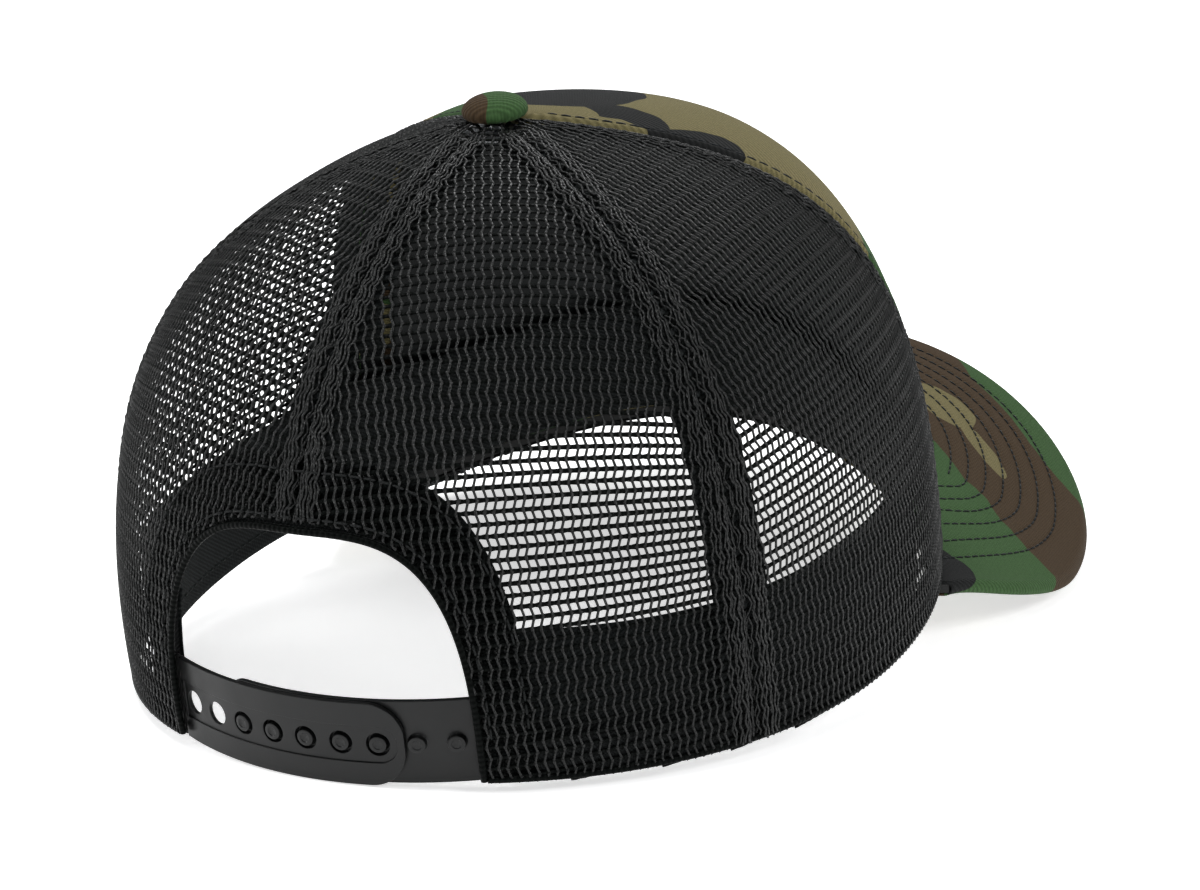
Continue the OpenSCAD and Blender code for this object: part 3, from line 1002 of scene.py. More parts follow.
class CAP_OT_arch_fold(bpy.types.Operator):
    """Builds the net turned in round the back opening, its rolled edge and its stitching"""

    bl_idname = "cap.arch_fold"
    bl_label = "Arch fold"

    def execute(self, context):
        net, stitch = context.scene.cap_net, context.scene.cap_stitch
        draw = np.random.default_rng(11)

        def band(p, t):
            """Where the fold's cloth lies: from the arch's edge up to the width of the fold."""
            z = crown(p, t)[..., 2]
            return (z >= arch_z(p, 0.3)) & (z <= arch_z(p, FOLD_WIDTH))

        under = net_parts(150, 30, rear_low, net, 1.25, draw, -6.9, band, ())
        u = np.linspace(0.0, 1.0, 260)
        p, z = arch_line(u)
        edge = edge_bead(p, place_at(p, z, 0.6), 0.65, 0.8, 0.7)
        parts = under + flipped(under) + [edge]
        fold = new_piece(
            "arch_fold_net",
            *gather(parts),
            net_yarn("Knitted polyester fold", net.colour),
            "mesh",
            replaces=["arch_fold"],
        )
        rows = []
        for inset in (2.6, FOLD_WIDTH - 1.2):
            p, z = arch_line(np.linspace(0.02, 0.98, 400), inset)
            t = place_at(p, z, 0.0)
            normal = crown_normal(p, t)
            path = crown(p, t) + normal * 0.02
            rows.append(stitch_row(path, normal, stitch.pitch, 0.8, stitch.width, 0.22))
        seam = new_piece(
            "arch_fold_stitching",
            *gather(rows),
            thread("Spun polyester thread, black", "#141616"),
            "black_twill",
        )
        # A narrow tape inside the fold closes the net behind the stitching
        u = np.linspace(0.0, 1.0, 220)[:, None]
        # Down the left leg its edge stands back, clear of the hole strap as it swings
        edge = 0.3 + 3.2 * eased((0.3 - u) / 0.12)
        inset = edge + (FOLD_WIDTH - edge) * np.linspace(0, 1, 9)
        p, z = arch_line(u, inset)
        t = place_at(p, z, 1.5)
        top, low, _ = cloth_sheet(p, t, 1.55, 0.35)
        tape = new_piece(
            "arch_fold_tape",
            *slab(top, low, cloth_run(top)),
            black_twill("Cotton tape, arch", "#171a1a", 0.85, 0.6),
            "black_twill",
        )
        return {"FINISHED"}


# ---- twill pieces --------------------------------------------------------------------


def cloth_sheet(p, t, depth, thick):
    """A closed sheet on the crown from angles and places, with its outer depth and thickness."""
    surface = crown(p, t)
    normal = crown_normal(p, t)
    depth = np.broadcast_to(depth, p.shape)[..., None]
    return surface - normal * depth, surface - normal * (depth + thick), normal


def cloth_run(points):
    """Cloth places in mm measured along the two directions of a grid."""
    u = np.linalg.norm(np.diff(points, axis=0), axis=2).mean(1)
    v = np.linalg.norm(np.diff(points, axis=1), axis=2)
    across = np.concatenate([[0], np.cumsum(u)])
    up = np.concatenate([np.zeros((len(points), 1)), np.cumsum(v, 1)], 1)
    return np.stack([np.broadcast_to(across[:, None], up.shape), up], -1)


def profile_run(p, t):
    """Run in mm along each profile of a grid of the crown."""
    spot = crown(p, t)
    step = np.linalg.norm(np.diff(spot, axis=1), axis=2)
    return np.concatenate([np.zeros((len(p), 1)), np.cumsum(step, 1)], 1)


class CAP_OT_front_panel(bpy.types.Operator):
    """Builds the printed twill front panel with its turned seams and topstitching"""

    bl_idname = "cap.front_panel"
    bl_label = "Front panel"

    def execute(self, context):
        camo, stitch = context.scene.cap_camo, context.scene.cap_stitch
        # Columns crowd at both seams, so that the turned edge and the stitch line have a shape
        inner = np.linspace(-0.93, 0.93, 150)
        outer = np.linspace(0.93, 1, 18)[1:]
        u = np.concatenate([-outer[::-1], inner, outer]) * SEAM
        v = np.concatenate([np.linspace(0, 0.03, 5)[:-1], np.linspace(0.03, 1, 150)])
        p = np.broadcast_to(u[:, None], (len(u), len(v)))
        t = top_place(p, CROWN_HOLE) * v
        spot = crown(p, t)
        radius = np.hypot(spot[..., 0], spot[..., 1] - BUTTON_Y)
        gap = np.radians(SEAM - np.abs(p)) * radius
        depth = (
            0.85 * np.exp(-((gap / 0.8) ** 2))
            - 0.22 * np.exp(-(((gap - 1.3) / 0.7) ** 2))
            + 0.20 * np.exp(-(((gap - TOPSTITCH_INSET) / 0.35) ** 2))
        )
        # The stitches pull the cloth into faint puckers beside the seam
        run = profile_run(p, t)
        depth = depth + 0.05 * np.sin(run * 2 * np.pi / 9 + 1.3 * np.sin(run / 17)) * np.exp(
            -(((gap - 4) / 3.5) ** 2)
        )
        top, low, _ = cloth_sheet(p, t, depth, CLOTH)
        across = np.linalg.norm(np.diff(spot, axis=0), axis=2).cumsum(0)
        across = np.concatenate([0 * across[:1], across])
        flat = np.stack([across - across[len(u) // 2], run], -1)
        patches = [
            ("khaki", (-34, 126), (48, 42), 0),
            ("khaki", (-56, 100), (22, 20), 0),
            ("black", (0, 132), (17, 21), 0),
            ("black", (17, 117), (15, 6.5), -34),
            ("green", (21, 143), (12, 7), 40),
            ("black", (-26, 139), (17, 5.4), 23),
            ("black", (-48, 122.5), (13.5, 5.2), 43),
            ("khaki", (-32, 142.3), (15.5, 3.2), 31),
            ("brown", (-14, 106), (8, 4.5), 12),
            ("brown", (-12, 84), (16, 9), -25),
            ("green", (-52, 62), (30, 13), -20),
            ("black", (-20, 44), (22, 8), 15),
        ]
        twill = camo_twill(
            "Printed cotton twill, crown",
            patches,
            (camo.khaki, camo.green, camo.brown, camo.black),
            camo.twill_pitch,
            offset=(12, 40, 75),
        )
        panel = new_piece(
            "front_panel_twill", *slab(top, low, flat), twill, "camo_twill", replaces=["front_panel"]
        )
        rows = []
        for side in (-1, 1):
            line = np.linspace(0.01, 0.985, 500)
            at = top_place(side * SEAM, CROWN_HOLE) * line
            radius = np.hypot(*(crown(side * SEAM, at) - [0, BUTTON_Y, 0])[:, :2].T)
            angle = side * (SEAM - np.degrees(TOPSTITCH_INSET / radius))
            n = crown_normal(angle, at)
            rows.append(
                stitch_row(crown(angle, at) - n * 0.14, n, stitch.pitch, 0.82, stitch.width, 0.22)
            )
        seam = new_piece(
            "front_panel_topstitch",
            *gather(rows),
            thread("Spun polyester thread, topstitch", "#15181a"),
            "black_twill",
        )
        return {"FINISHED"}


class CAP_OT_front_lining(bpy.types.Operator):
    """Builds the stiff foam lining behind the front panel"""

    bl_idname = "cap.front_lining"
    bl_label = "Front lining"

    def execute(self, context):
        v = np.linspace(0, 1, 90)
        t = 0.02 + (top_place(SEAM, TAPE_TOP) - 0.02) * v
        radius = np.hypot(*(crown(SEAM, t) - [0, BUTTON_Y, 0])[:, :2].T)
        edge = SEAM - np.minimum(np.degrees(np.arcsin(TAPE_WIDTH / 2 / radius)), 25) - 1.8
        p = np.linspace(-1, 1, 110)[:, None] * edge
        t = np.broadcast_to(t, p.shape)
        top, low, _ = cloth_sheet(p, t, CLOTH + 0.2, LINING)
        waves = 0.12 * np.sin(p / 4.0 + 2 * np.sin(t * 9)) * np.sin(t * 31 + p / 11)
        low = low + (top - low) / LINING * waves[..., None]
        lining = new_piece(
            "front_lining_foam",
            *slab(top, low, cloth_run(top)),
            lining_foam("Foam-backed tricot"),
            "stiff_lining",
            replaces=["front_lining"],
        )
        return {"FINISHED"}


class CAP_OT_seam_tapes(bpy.types.Operator):
    """Builds the twill tapes that cover the seams on the inside, with their two stitch lines"""

    bl_idname = "cap.seam_tapes"
    bl_label = "Seam tapes"

    def execute(self, context):
        stitch = context.scene.cap_stitch
        tape_cloth = black_twill("Cotton seam tape", "#1a1d1d", 0.85, 0.6)
        spun = thread("Spun polyester thread, tape", "#191c1c")
        # Seam angle and the height where the tape starts
        seams = {
            "front_left": (SEAM, HEM_HEIGHT + 2),
            "front_right": (-SEAM, HEM_HEIGHT + 2),
            "side_left": (2 * SEAM, rim_z(2 * SEAM) + HEM_HEIGHT + 1.5),
            "side_right": (-2 * SEAM, rim_z(2 * SEAM) + HEM_HEIGHT + 1.5),
            "rear": (180.0, REAR_RISE + ARCH_HEIGHT + FOLD_WIDTH + 1.5),
        }
        for name, (angle, start) in seams.items():
            t0 = float(place_at(abs(angle), start, 0.9))
            t = t0 + (top_place(abs(angle), TAPE_TOP) - t0) * np.linspace(0, 1, 120)
            spot = crown(angle, t)
            radius = np.hypot(spot[:, 0], spot[:, 1] - BUTTON_Y)
            half = np.minimum(np.degrees(np.arcsin(np.minimum(TAPE_WIDTH / 2 / radius, 1))), 25)
            w = np.linspace(-1, 1, 27)[:, None]
            p = angle + w * half
            t = np.broadcast_to(t, p.shape)
            # A raised selvedge along both sides, and a groove under each stitch line
            relief = 0.10 * np.exp(-(((np.abs(w) - 0.93) / 0.05) ** 2)) - 0.12 * np.exp(
                -(((np.abs(w) - 0.62) / 0.06) ** 2)
            )
            top, low, normal = cloth_sheet(p, t, CLOTH + 0.25, 0.5)
            low = low - normal * relief[..., None] * np.ones_like(t)[..., None]
            flat = np.stack([np.broadcast_to(w * TAPE_WIDTH / 2, t.shape), profile_run(p, t)], -1)
            piece = new_piece(
                f"tape_{name}_twill",
                *slab(top, low, flat),
                tape_cloth,
                "black_twill",
                replaces=[f"tape_{name}"],
            )
            rows = []
            for place in (-0.62, 0.62):
                column = np.argmin(np.abs(w[:, 0] - place))
                rows.append(
                    stitch_row(
                        low[column], -normal[column], stitch.pitch, 0.8, stitch.width, 0.2
                    )
                )
            sewn = new_piece(f"tape_{name}_stitching", *gather(rows), spun, "black_twill")
            length = float(profile_run(p, t)[13, -1]) / 1000
        return {"FINISHED"}


class CAP_OT_hems(bpy.types.Operator):
    """Builds the hem tapes along the rim of the net"""

    bl_idname = "cap.hems"
    bl_label = "Hems"

    def execute(self, context):
        hem_cloth = black_twill("Cotton hem tape", "#191b1b", 0.85, 0.6)
        end = 180 - ARCH_ANGLE - FOLD_WIDTH * degrees_per_mm() - 0.2
        for hand, side in (("left", 1), ("right", -1)):
            p = side * np.linspace(SEAM - 3, end, 170)[:, None] * np.ones(9)
            z = rim_z(p) + np.linspace(0.5, HEM_HEIGHT, 9)
            t = place_at(p, z, 0.9)
            top, low, _ = cloth_sheet(p, t, CLOTH + 0.25, 0.5)
            if side < 0:
                top, low = low, top
            flat = cloth_run(top)
            piece = new_piece(
                f"hem_{hand}_tape",
                *slab(top, low, flat),
                hem_cloth,
                "black_twill",
                replaces=[f"hem_{hand}"],
            )
        return {"FINISHED"}


class CAP_OT_sweatband(bpy.types.Operator):
    """Builds the twill sweatband and the forehead pad behind it"""

    bl_idname = "cap.sweatband"
    bl_label = "Sweatband"

    def execute(self, context):
        stitch = context.scene.cap_stitch
        leg_x = HINGE_X + 1
        end = 180 - math.degrees(math.asin((leg_x + 2) / (HALF_W - BAND_DEPTH)))
        p = np.linspace(-end, end, 420)[:, None] * np.ones(26)
        rise = np.linspace(0.6, BAND_HEIGHT, 26)
        t = place_at(p, rim_z(p) + rise, BAND_DEPTH)
        spot = crown(p, t, BAND_DEPTH)
        normal = crown_normal(p, t)
        run = cloth_run(spot)
        # Rolled top and bottom edges, and the loose cloth between them lying in slow waves
        v = (rise - 0.6) / (BAND_HEIGHT - 0.6)
        roll = 0.35 * np.exp(-(((v - 0.97) / 0.03) ** 2)) + 0.25 * np.exp(-((v / 0.05) ** 2))
        slack = 0.30 * np.sin(np.pi * v) * np.sin(run[..., 0] / 9 + np.sin(run[..., 0] / 23))
        groove = -0.25 * np.exp(-(((rise - BAND_STITCH_LOW) / 0.7) ** 2))
        top = spot + normal * (roll * 0.2)[..., None]
        low = spot - normal * (CLOTH + roll + np.maximum(slack, -0.3) + groove)[..., None]
        band = new_piece(
            "sweatband_cloth",
            *slab(top, low, run),
            black_twill("Cotton twill sweatband", "#191c1c", 0.9, 0.95),
            "black_twill",
            replaces=["sweatband"],
        )
        rows = []
        for height in (BAND_STITCH_LOW, BAND_HEIGHT - BAND_STITCH_TOP):
            k = np.argmin(np.abs(rise - height))
            rows.append(
                stitch_row(low[:, k], -normal[:, k], stitch.pitch, 0.8, stitch.width, 0.2)
            )
        sewn = new_piece(
            "sweatband_stitching",
            *gather(rows),
            thread("Spun polyester thread, band", "#202423"),
            "black_twill",
        )
        # The pad is a quilted strip of foam, pinched along its edges
        p = np.linspace(-PAD_HALF_ANGLE, PAD_HALF_ANGLE, 150)[:, None] * np.ones(28)
        v = np.linspace(0, 1, 28)
        t = place_at(p, rim_z(p) + 2 + (BAND_HEIGHT - 4.5) * v, 4)
        normal = crown_normal(p, t)
        u = np.abs(p) / PAD_HALF_ANGLE
        puff = (1 - v**8) * (1 - (1 - v) ** 8) * (1 - u**16)
        puff = puff * (1 - 0.25 * np.cos(np.pi * p / 6.5) ** 12)
        top = crown(p, t) - normal * (4.25 - 0.9 * puff)[..., None]
        low = crown(p, t) - normal * (4.45 + 0.9 * puff)[..., None]
        pad = new_piece(
            "forehead_pad_foam",
            *slab(top, low, cloth_run(top)),
            lining_foam("Foam-backed tricot, pad"),
            "stiff_lining",
            replaces=["forehead_pad"],
        )
        return {"FINISHED"}


# ---- visor --------------------------------------------------------------------------


def offset_rows(first, step, count, side):
    """Stitch lines inside the visor's outline, seen in plan, each cut where it meets the rim."""
    u = np.linspace(-1, 1, 900)
    edge = visor(u, 1.0)[:, :2]
    along = unit(np.gradient(edge, axis=0))
    inward = np.stack([-along[:, 1], along[:, 0]], 1)
    # The rows spread along the visor's sides and draw together round its front
    spread = 1 + side * eased((np.abs(u) - 0.62) / 0.26)
    rows = []
    for k in range(count):
        gap = (first + step * k) * spread
        line = edge + inward * gap[:, None]
        # Points nearer to the outline than the gap lie past a corner, and go
        far = np.array([np.min(np.hypot(*(edge - q).T) - gap) for q in line]) > -0.15 - 0.12 * gap.min()
        centre = np.hypot(line[:, 0] / (HALF_W - 3.6), line[:, 1] / (HALF_L - 3.6))
        keep = far & (centre > 1.012) & (line[:, 1] < 0)
        if keep.sum() < 20:
            break
        line = line[keep]
        smooth = np.concatenate([np.repeat(line[:1], 6, 0), line, np.repeat(line[-1:], 6, 0)])
        marks = even(smooth, 0.8)
        line = at_places(smooth, marks)
        for _ in range(6):
            line[1:-1] = (line[:-2] + 2 * line[1:-1] + line[2:]) / 4
        rows.append(line)
    return rows


class CAP_OT_visor(bpy.types.Operator):
    """Builds the curved visor: both printed covers, the rolled edge and the rows of stitching"""

    bl_idname = "cap.visor"
    bl_label = "Visor"

    def execute(self, context):
        camo, stitch = context.scene.cap_camo, context.scene.cap_stitch
        rows = offset_rows(
            stitch.visor_first, stitch.visor_step, stitch.visor_rows, stitch.visor_side
        )
        dots = np.concatenate(rows)
        u = np.linspace(-1, 1, 328)
        s = np.linspace(0, 1, 130)
        full = 2 * CLOTH + BOARD
        round_over = 1.9
        uu, ss = np.meshgrid(u, s, indexing="ij")
        top = visor(uu, ss, 0.0, round_over)
        under = visor(uu, ss, full, round_over)

        def gap_to_rows(points):
            """Distance from each point to the nearest row of stitches, seen from above."""
            flat = points[..., :2].reshape(-1, 2)
            out = np.empty(len(flat))
            for k in range(0, len(flat), 4000):
                d = flat[k : k + 4000, None] - dots[None]
                out[k : k + 4000] = np.sqrt((d**2).sum(-1).min(1))
            return out.reshape(points.shape[:-1])

        gap = gap_to_rows(top)
        relief = 0.30 * np.exp(-((gap / 0.55) ** 2)) - 0.10 * np.exp(-(((gap - 2.6) / 1.6) ** 2))
        top[..., 2] -= relief
        under[..., 2] += relief
        # The cover rolls over the board's edge: a half round from the top face to the under face
        turns = np.linspace(0, np.pi, 13)[1:-1]
        rim_top, rim_low = visor(u, 1.0, 0.0, round_over), visor(u, 1.0, full, round_over)
        outward = unit(visor(u, 1.0) - visor(u, 0.9))
        middle, half = (rim_top + rim_low) / 2, full / 2
        roll = np.stack(
            [
                middle
                + outward * (round_over * math.sin(a))
                + np.array([0, 0, 1]) * half * math.cos(a)
                for a in turns
            ],
            1,
        )
        tuck = visor(u[:, None], np.linspace(1, 0.955, 5)[None, 1:], full, round_over)
        surface = np.concatenate([top, roll, rim_low[:, None], tuck], 1)
        # The cover's inner face runs a cloth's thickness under its outer one
        du, dv = np.gradient(surface, axis=0), np.gradient(surface, axis=1)
        normal = unit(np.cross(du, dv))
        inner = surface - normal * (CLOTH * 0.8)
        if normal[164, 60, 2] < 0:
            inner = surface + normal * (CLOTH * 0.8)
        # Over the roll the cloth runs on past the edge, so its weave keeps its scale there
        past = np.linalg.norm(np.diff(surface[:, len(s) - 1 :], axis=1), axis=2).cumsum(1)
        flat = surface[..., :2].copy()
        flat[:, len(s) :] = flat[:, len(s) - 1 : len(s)] + unit(outward[:, None, :2]) * past[..., None]
        side_patches = [
            ("green", (-64, -110), (90, 56), -42),
            ("brown", (-55, -132), (140, 16), -41.5),
            ("khaki", (-43, -140), (11, 6.8), -40),
            ("khaki", (-58, -126.5), (13, 2.6), -44),
            ("green", (-75, -154.3), (60, 14.5), -39),
            ("black", (-74, -44), (13, 13), 0),
        ]
        twill = camo_twill(
            "Printed cotton twill, visor",
            side_patches,
            (camo.khaki, camo.green, camo.brown, camo.black),
            camo.twill_pitch,
            turn=0.95,
            offset=(60, 20, 5),
        )
        points, faces, uv = slab(surface, inner, flat)
        if normal[164, 60, 2] < 0:
            faces = [f[:, ::-1] for f in faces]
        cover = new_piece(
            "visor_top_twill", points, faces, uv, twill, "camo_twill", replaces=["visor_top"]
        )
        low_outer = visor(uu, ss * 0.985, full + 0.02, round_over)
        low_outer[..., 2] += relief
        low_inner = low_outer + np.array([0, 0, 0.55])
        points, faces, uv = slab(low_inner, low_outer, low_outer[..., :2] * [-1, 1])
        if normal[164, 60, 2] < 0:
            faces = [f[:, ::-1] for f in faces]
        below = new_piece(
            "visor_under_twill",
            points,
            faces,
            uv,
            camo_twill(
                "Printed cotton twill with painted shade, under visor",
                # Painted shade: the large black patch darkens the far side of the under face, where it
                # lies in shade
                [("black", (-30, -95), (62, 60), 0)],
                (camo.khaki, camo.green, camo.brown, camo.black),
                camo.twill_pitch,
                offset=(90, 33, 52),
            ),
            "camo_twill",
            replaces=["visor_under"],
        )
        # Lay each row on the cover from above and from below
        tree = BVHTree.FromPolygons(
            top.reshape(-1, 3).tolist(), grid_faces(*top.shape[:2]).tolist()
        )
        sewn = []
        for line in rows:
            path, normals = [], []
            for x, y in line:
                hit, n, _, _ = tree.ray_cast(Vector((x, y, 80)), Vector((0, 0, -1)))
                if hit is not None:
                    path.append(hit)
                    normals.append(n if n.z > 0 else -n)
            if len(path) < 12:
                continue
            path, normals = np.array(path), np.array(normals)
            sewn.append(
                stitch_row(path + normals * 0.04, normals, stitch.pitch, 0.86, stitch.width, 0.2)
            )
            sewn.append(
                stitch_row(
                    path - normals * (full + 0.02 - 0.3),
                    -normals,
                    stitch.pitch,
                    0.8,
                    stitch.width,
                    0.2,
                )
            )
        seams = new_piece(
            "visor_stitching",
            *gather(sewn),
            thread("Spun polyester thread, visor", "#15191a"),
            "black_twill",
        )
        return {"FINISHED"}


# ---- button ---------------------------------------------------------------------------


def lathe(profile, turns=96):
    """A turned surface about Z from (radius, height) pairs, closed where the radius is nothing."""
    a = np.arange(turns) * 2 * np.pi / turns
    r, z = np.array(profile).T
    points = np.stack(
        [
            r[:, None] * np.cos(a),
            r[:, None] * np.sin(a),
            np.broadcast_to(z[:, None], (len(r), turns)),
        ],
        -1,
    )
    index = np.arange(len(r) * turns).reshape(len(r), turns)
    turned = np.roll(index, -1, 1)
    quads = np.stack([index[:-1], turned[:-1], turned[1:], index[1:]], -1).reshape(-1, 4)
    return points, [quads, index[:1, ::-1], index[-1:]]


class CAP_OT_button(bpy.types.Operator):
    """Builds the covered button and finishes its steel parts"""

    bl_idname = "cap.button"
    bl_label = "Button"

    def execute(self, context):
        camo = context.scene.cap_camo
        r = BUTTON_D / 2
        # The cloth tucks under the rim of the button and rises in a flat dome
        under = [(r * 0.80, 0.15), (r * 0.86, 0.1), (r * 0.93, 0.3), (r * 0.975, 0.7)]
        dome = [
            (r * math.cos(a) ** 0.92, 1.3 + (BUTTON_H - 1.1) * math.sin(a))
            for a in np.linspace(0, math.pi / 2 - 0.03, 34)
        ]
        profile = under + dome
        outer, faces = lathe(profile)
        # Four soft gathers under the edge, where the cloth is drawn round the shell
        angle = np.arctan2(outer[..., 1], outer[..., 0])
        low = np.clip((2.2 - outer[..., 2]) / 2.2, 0, 1)
        pull = 1 - 0.025 * low * (0.5 + 0.5 * np.cos(angle * 22))
        outer[..., :2] *= pull[..., None]
        place = outer[..., :2].reshape(-1, 2).copy()
        lifted = outer + np.array([0, BUTTON_Y, CROWN_H - 0.5])
        twill = camo_twill(
            "Printed cotton twill, button",
            [
                ("green", (0, 0), (20, 20), 0),
                ("brown", (9.0, 4.5), (8.4, 16), 26.7),
            ],
            (camo.khaki, camo.green, camo.brown, camo.black),
            0.95,
            turn=-2.04,
        )
        cover = new_piece(
            "button_twill",
            lifted.reshape(-1, 3),
            faces,
            place,
            twill,
            "camo_twill",
            replaces=["button_cover"],
        )
        steel = plated_steel("Zinc-plated steel")
        for node in ("button_core", "button_rivet", "button_washer"):
            dress(node, steel)
        return {"FINISHED"}


def dress(node, material):
    """Gives a CAD node its finish."""
    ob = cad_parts[node]
    ob.data.materials.clear()
    ob.data.materials.append(material)


# ---- straps ----------------------------------------------------------------------------


def rounded_outline(start, stop, half, corner, round_stop=True):
    """Plan of a strap from start to stop, with two rounded corners at its free end."""
    points = [(start, -half)]
    if round_stop:
        sign = 1 if stop > start else -1
        for k in range(13):
            a = math.radians(90 * k / 12)
            points.append(
                (stop - sign * corner * (1 - math.sin(a)), -half + corner * (1 - math.cos(a)))
            )
        for k in range(1, 13):
            a = math.radians(90 * k / 12)
            points.append(
                (stop - sign * corner * (1 - math.cos(a)), half - corner * (1 - math.sin(a)))
            )
    else:
        points += [(stop, -half), (stop, half)]
    points.append((start, half))
    return points


def arc_run(x, radius):
    """Length along an arc of this radius from its middle out to a sideways place."""
    return radius * math.asin(x / radius)


def circle(x, y, r, count=48):
    """Points round a circle."""
    return [
        (x + r * math.cos(2 * math.pi * k / count), y + r * math.sin(2 * math.pi * k / count))
        for k in range(count)
    ]


def flat_plate(outline, holes, low, high, bevel):
    """A flat plate with holes and softened edges, cut across so that it can bend."""
    data = bpy.data.curves.new("plate", "CURVE")
    data.dimensions = "2D"
    data.fill_mode = "BOTH"
    data.extrude = (high - low) / 2 - bevel
    data.bevel_depth = bevel
    data.bevel_resolution = 3
    data.offset = -bevel
    for ring in [outline, *holes]:
        spline = data.splines.new("POLY")
        spline.points.add(len(ring) - 1)
        for point, (x, y) in zip(spline.points, ring):
            point.co = (x, y, 0, 1)
        spline.use_cyclic_u = True
    ob = bpy.data.objects.new("plate", data)
    bpy.context.scene.collection.objects.link(ob)
    me = bpy.data.meshes.new_from_object(ob)
    bpy.data.objects.remove(ob)
    bpy.data.curves.remove(data)
    bm = bmesh.new()
    bm.from_mesh(me)
    bpy.data.meshes.remove(me)
    bmesh.ops.remove_doubles(bm, verts=bm.verts, dist=1e-4)
    xs = [v.co.x for v in bm.verts]
    for x in np.arange(min(xs) + 0.9, max(xs) - 0.2, 1.1):
        bmesh.ops.bisect_plane(
            bm,
            geom=bm.verts[:] + bm.edges[:] + bm.faces[:],
            dist=1e-4,
            plane_co=(x, 0, 0),
            plane_no=(1, 0, 0),
        )
    bmesh.ops.triangulate(bm, faces=bm.faces)
    bmesh.ops.recalc_face_normals(bm, faces=bm.faces)
    bm.verts.index_update()
    points = np.array([v.co[:] for v in bm.verts]) + [0, 0, (low + high) / 2]
    faces = [np.array([[v.index for v in f.verts] for f in bm.faces])]
    bm.free()
    return points, faces, points[:, :2].copy()


def bend(points, radius):
    """Wraps a flat plate round the back of the rim: its length runs along the arc of this radius."""
    a = points[:, 0] / radius
    r = radius + points[:, 2]
    return np.stack([r * np.sin(a), BACK_Y + r * np.cos(a), STRAP_MID_Z + points[:, 1]], -1)


def pin(radius, height, x, arc_radius, foot):
    """A snap peg: a small pillar with a filleted foot and a softened, dished head."""
    profile = [(radius + 0.35, 0.0), (radius + 0.12, 0.1), (radius, 0.32)]
    profile += [(radius, height - 0.25), (radius - 0.07, height - 0.08), (radius - 0.25, height)]
    profile += [(radius - 0.75, height - 0.02), (radius - 0.9, height - 0.16), (0.02, height - 0.2)]
    points, faces = lathe(profile, 40)
    flat = points.reshape(-1, 3)
    moved = flat + [x, 0, foot]
    return bend(moved, arc_radius), faces, flat[:, :2]


class CAP_OT_straps(bpy.types.Operator):
    """Builds the snap strap with holes and the strap with pegs, and gives their sewn end tabs their
    plastic finish
    """

    bl_idname = "cap.straps"
    bl_label = "Straps"

    def execute(self, context):
        plastic = moulded_plastic("Moulded polyethylene")
        half = STRAP_H / 2
        hinge = arc_run(HINGE_X, HOLE_R)
        first = hinge - 4.2
        last = first - 6 * SNAP_PITCH
        tip = arc_run(HOLE_R * math.sin(last / HOLE_R) - 5.4, HOLE_R)
        holes = [circle(first - SNAP_PITCH * k, 0, HOLE_D / 2) for k in range(7)]
        # The strap is a thin web with a raised border, so that a channel runs along the holes
        web_out, border = STRAP_T / 2 - 0.35, STRAP_T / 2
        web = flat_plate(
            rounded_outline(hinge, tip, half - 0.02, half * 0.84),
            holes,
            -STRAP_T / 2,
            web_out,
            0.12,
        )
        channel_end = arc_run(HOLE_R * math.sin(last / HOLE_R) - 4, HOLE_R)
        inner = rounded_outline(hinge - 1.2, channel_end, 4, 3.9)
        rim = flat_plate(
            rounded_outline(hinge, tip, half, half * 0.84),
            [inner],
            -STRAP_T / 2 + 0.2,
            border,
            0.16,
        )
        parts = [(bend(points, HOLE_R), faces, uv) for points, faces, uv in (web, rim)]
        new_piece(
            "snap_strap_holes",
            *gather(parts),
            plastic,
            "strap_plastic",
            "hole_strap",
            sharp=40,
            replaces=["hole_strap"],
        )
        # The peg strap lies inside the other and is narrower at its free end
        peg_hinge = -arc_run(HINGE_X, PEG_R)
        angle_first = first / HOLE_R
        spots = [PEG_R * (angle_first - k * SNAP_PITCH / HOLE_R) for k in range(2, 9)]
        peg_tip = arc_run(PEG_R * math.sin(angle_first - 2 * SNAP_PITCH / HOLE_R) + 5, PEG_R)
        plate = flat_plate(
            rounded_outline(peg_hinge, peg_tip, half, half * 0.6),
            [],
            -STRAP_T / 2,
            STRAP_T / 2,
            0.2,
        )
        parts = [(bend(plate[0], PEG_R), plate[1], plate[2])]
        for x in spots:
            parts.append(pin(PEG_D / 2, STRAP_GAP + STRAP_T - 0.05, x, PEG_R, STRAP_T / 2))
        new_piece(
            "snap_strap_pegs",
            *gather(parts),
            plastic,
            "strap_plastic",
            "peg_strap",
            sharp=40,
            replaces=["peg_strap"],
        )
        for node in ("hole_strap_tab", "peg_strap_tab"):
            dress(node, plastic)
        dress("visor_board", moulded_plastic("Polyethylene board", "#141514", 0.5))
        return {"FINISHED"}


# ---- stage --------------------------------------------------------------------------------


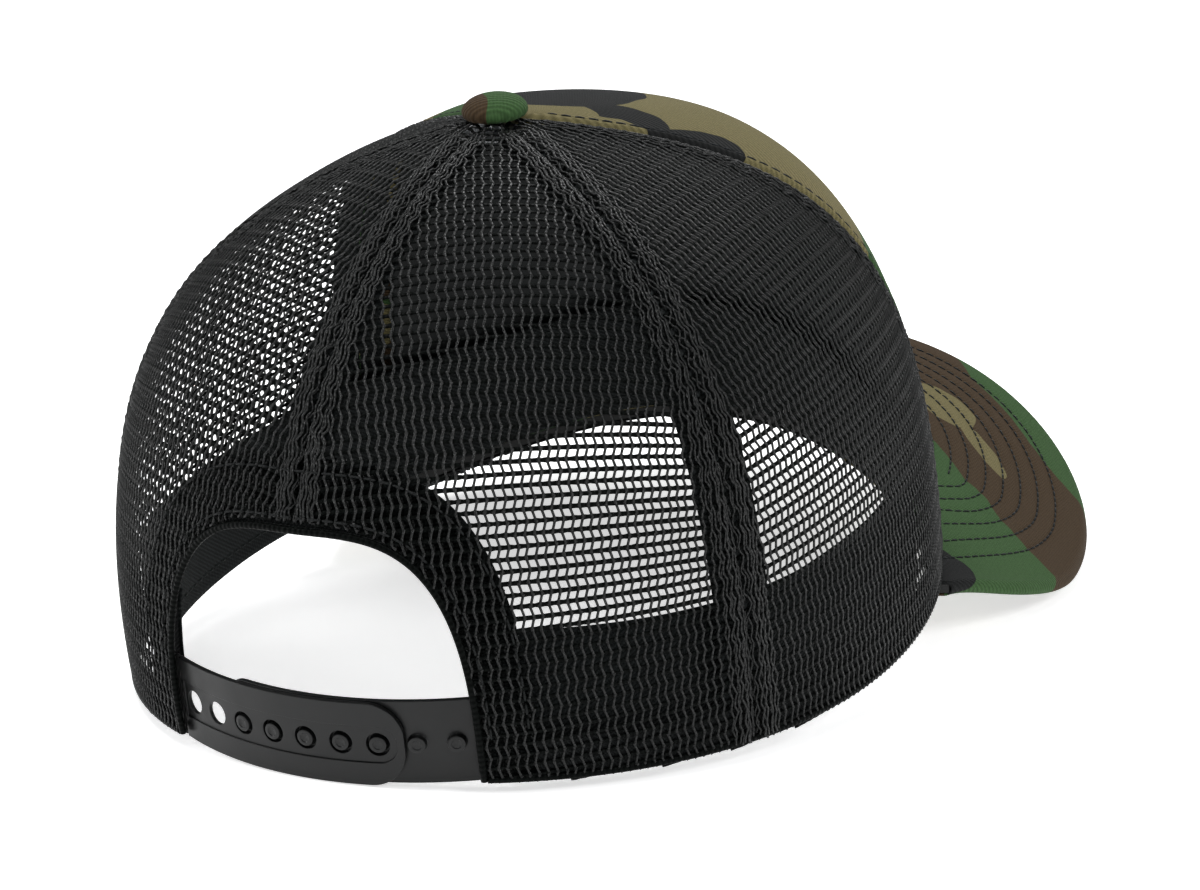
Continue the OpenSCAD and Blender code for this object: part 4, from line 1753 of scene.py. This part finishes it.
class CAP_OT_stage(bpy.types.Operator):
    """Makes the camera, the pale floor and the soft studio light"""

    bl_idname = "cap.stage"
    bl_label = "Stage"

    def execute(self, context):
        scene, settings = context.scene, context.scene.cap_stage
        camera = bpy.data.cameras.new("Camera")
        camera.lens, camera.sensor_width, camera.sensor_fit = settings.lens, 36, "HORIZONTAL"
        camera.shift_x, camera.shift_y = CAMERA_SHIFT
        camera.clip_start, camera.clip_end = 0.05, 50
        ob = bpy.data.objects.new("Camera", camera)
        ahead = Vector(CAMERA_AHEAD).normalized()
        above = Vector(CAMERA_ABOVE).normalized()
        right = ahead.cross(above).normalized()
        above = right.cross(ahead)
        turn = Matrix((right, above, -ahead)).transposed().to_4x4()
        ob.matrix_world = Matrix.Translation(CAMERA_PLACE) @ turn
        scene.collection.objects.link(ob)
        scene.camera = ob

        half = settings.floor_size / 2
        z = CAD_BOX[0][2] - 0.0002
        me = bpy.data.meshes.new("floor")
        me.from_pydata(
            [(-half, -half, z), (half, -half, z), (half, half, z), (-half, half, z)],
            [],
            [(0, 1, 2, 3)],
        )
        floor = bpy.data.objects.new("floor", me)
        scene.collection.objects.link(floor)
        # Opal acrylic of a light table: a matt white that glows a little
        material, _, shader = blank(
            "Opal acrylic floor", Roughness=0.9, Emission_Strength=FLOOR_GLOW
        )
        shader.inputs["Base Color"].default_value = (0.9, 0.9, 0.9, 1)
        shader.inputs["Emission Color"].default_value = (1, 1, 1, 1)
        me.materials.append(material)

        world = bpy.data.worlds.new("Studio")
        world.use_nodes = True
        world.node_tree.nodes["Background"].inputs[0].default_value = (0.95, 0.97, 1.0, 1)
        world.node_tree.nodes["Background"].inputs[1].default_value = WORLD_LIGHT
        scene.world = world
        scene.view_settings.view_transform = "Standard"
        # Soft boxes: place, aim, width, power in watts
        boxes = {
            "overhead": ((0.1, 0.1, 1.3), (0, 0, 0.05), 0.6, 10),
            "left": ((1.1, 0.5, 0.7), (0, 0, 0.05), 0.5, 6),
            "right": ((-1.1, 0.0, 0.8), (0, 0, 0.05), 0.5, 7),
            "behind": ((0.3, -1.2, 0.9), (0, 0, 0.05), 0.6, 6),
        }
        for name, (spot, aim, width, power) in boxes.items():
            light = bpy.data.lights.new(name, "AREA")
            light.shape, light.size, light.energy = "SQUARE", width, power
            lamp = bpy.data.objects.new(name, light)
            lamp.location = spot
            lamp.rotation_euler = (Vector(aim) - Vector(spot)).to_track_quat("-Z", "Y").to_euler()
            scene.collection.objects.link(lamp)
        return {"FINISHED"}


# ---- panel and registration ------------------------------------------------------------------

OPERATORS = (
    CAP_OT_stage,
    CAP_OT_front_panel,
    CAP_OT_front_lining,
    CAP_OT_net_panels,
    CAP_OT_seam_tapes,
    CAP_OT_arch_fold,
    CAP_OT_hems,
    CAP_OT_sweatband,
    CAP_OT_visor,
    CAP_OT_button,
    CAP_OT_straps,
)
SETTINGS = {
    "cap_net": NetSettings,
    "cap_camo": CamoSettings,
    "cap_stitch": StitchSettings,
    "cap_stage": StageSettings,
}


class CAP_PT_panel(bpy.types.Panel):
    """Lists the pieces of the cap and their sizes"""

    bl_idname = "CAP_PT_panel"
    bl_label = "Mesh back cap"
    bl_space_type = "VIEW_3D"
    bl_region_type = "UI"
    bl_category = "Mesh Cap"

    def draw(self, context):
        for name, group in SETTINGS.items():
            box = self.layout.box()
            for key in group.__annotations__:
                box.prop(getattr(context.scene, name), key)
        for operator in OPERATORS:
            self.layout.operator(operator.bl_idname)


def register():
    """Registers the settings, the operators and the panel."""
    for cls in (*SETTINGS.values(), *OPERATORS, CAP_PT_panel):
        bpy.utils.register_class(cls)
    for name, group in SETTINGS.items():
        setattr(bpy.types.Scene, name, PointerProperty(type=group))


def unregister():
    """Takes the settings, the operators and the panel away again."""
    for name in SETTINGS:
        delattr(bpy.types.Scene, name)
    for cls in reversed((*SETTINGS.values(), *OPERATORS, CAP_PT_panel)):
        bpy.utils.unregister_class(cls)


def main():
    """Builds the stage and every piece."""
    register()
    for operator in OPERATORS:
        group, name = operator.bl_idname.split(".")
        getattr(getattr(bpy.ops, group), name)()


if __name__ == "__main__":
    main()
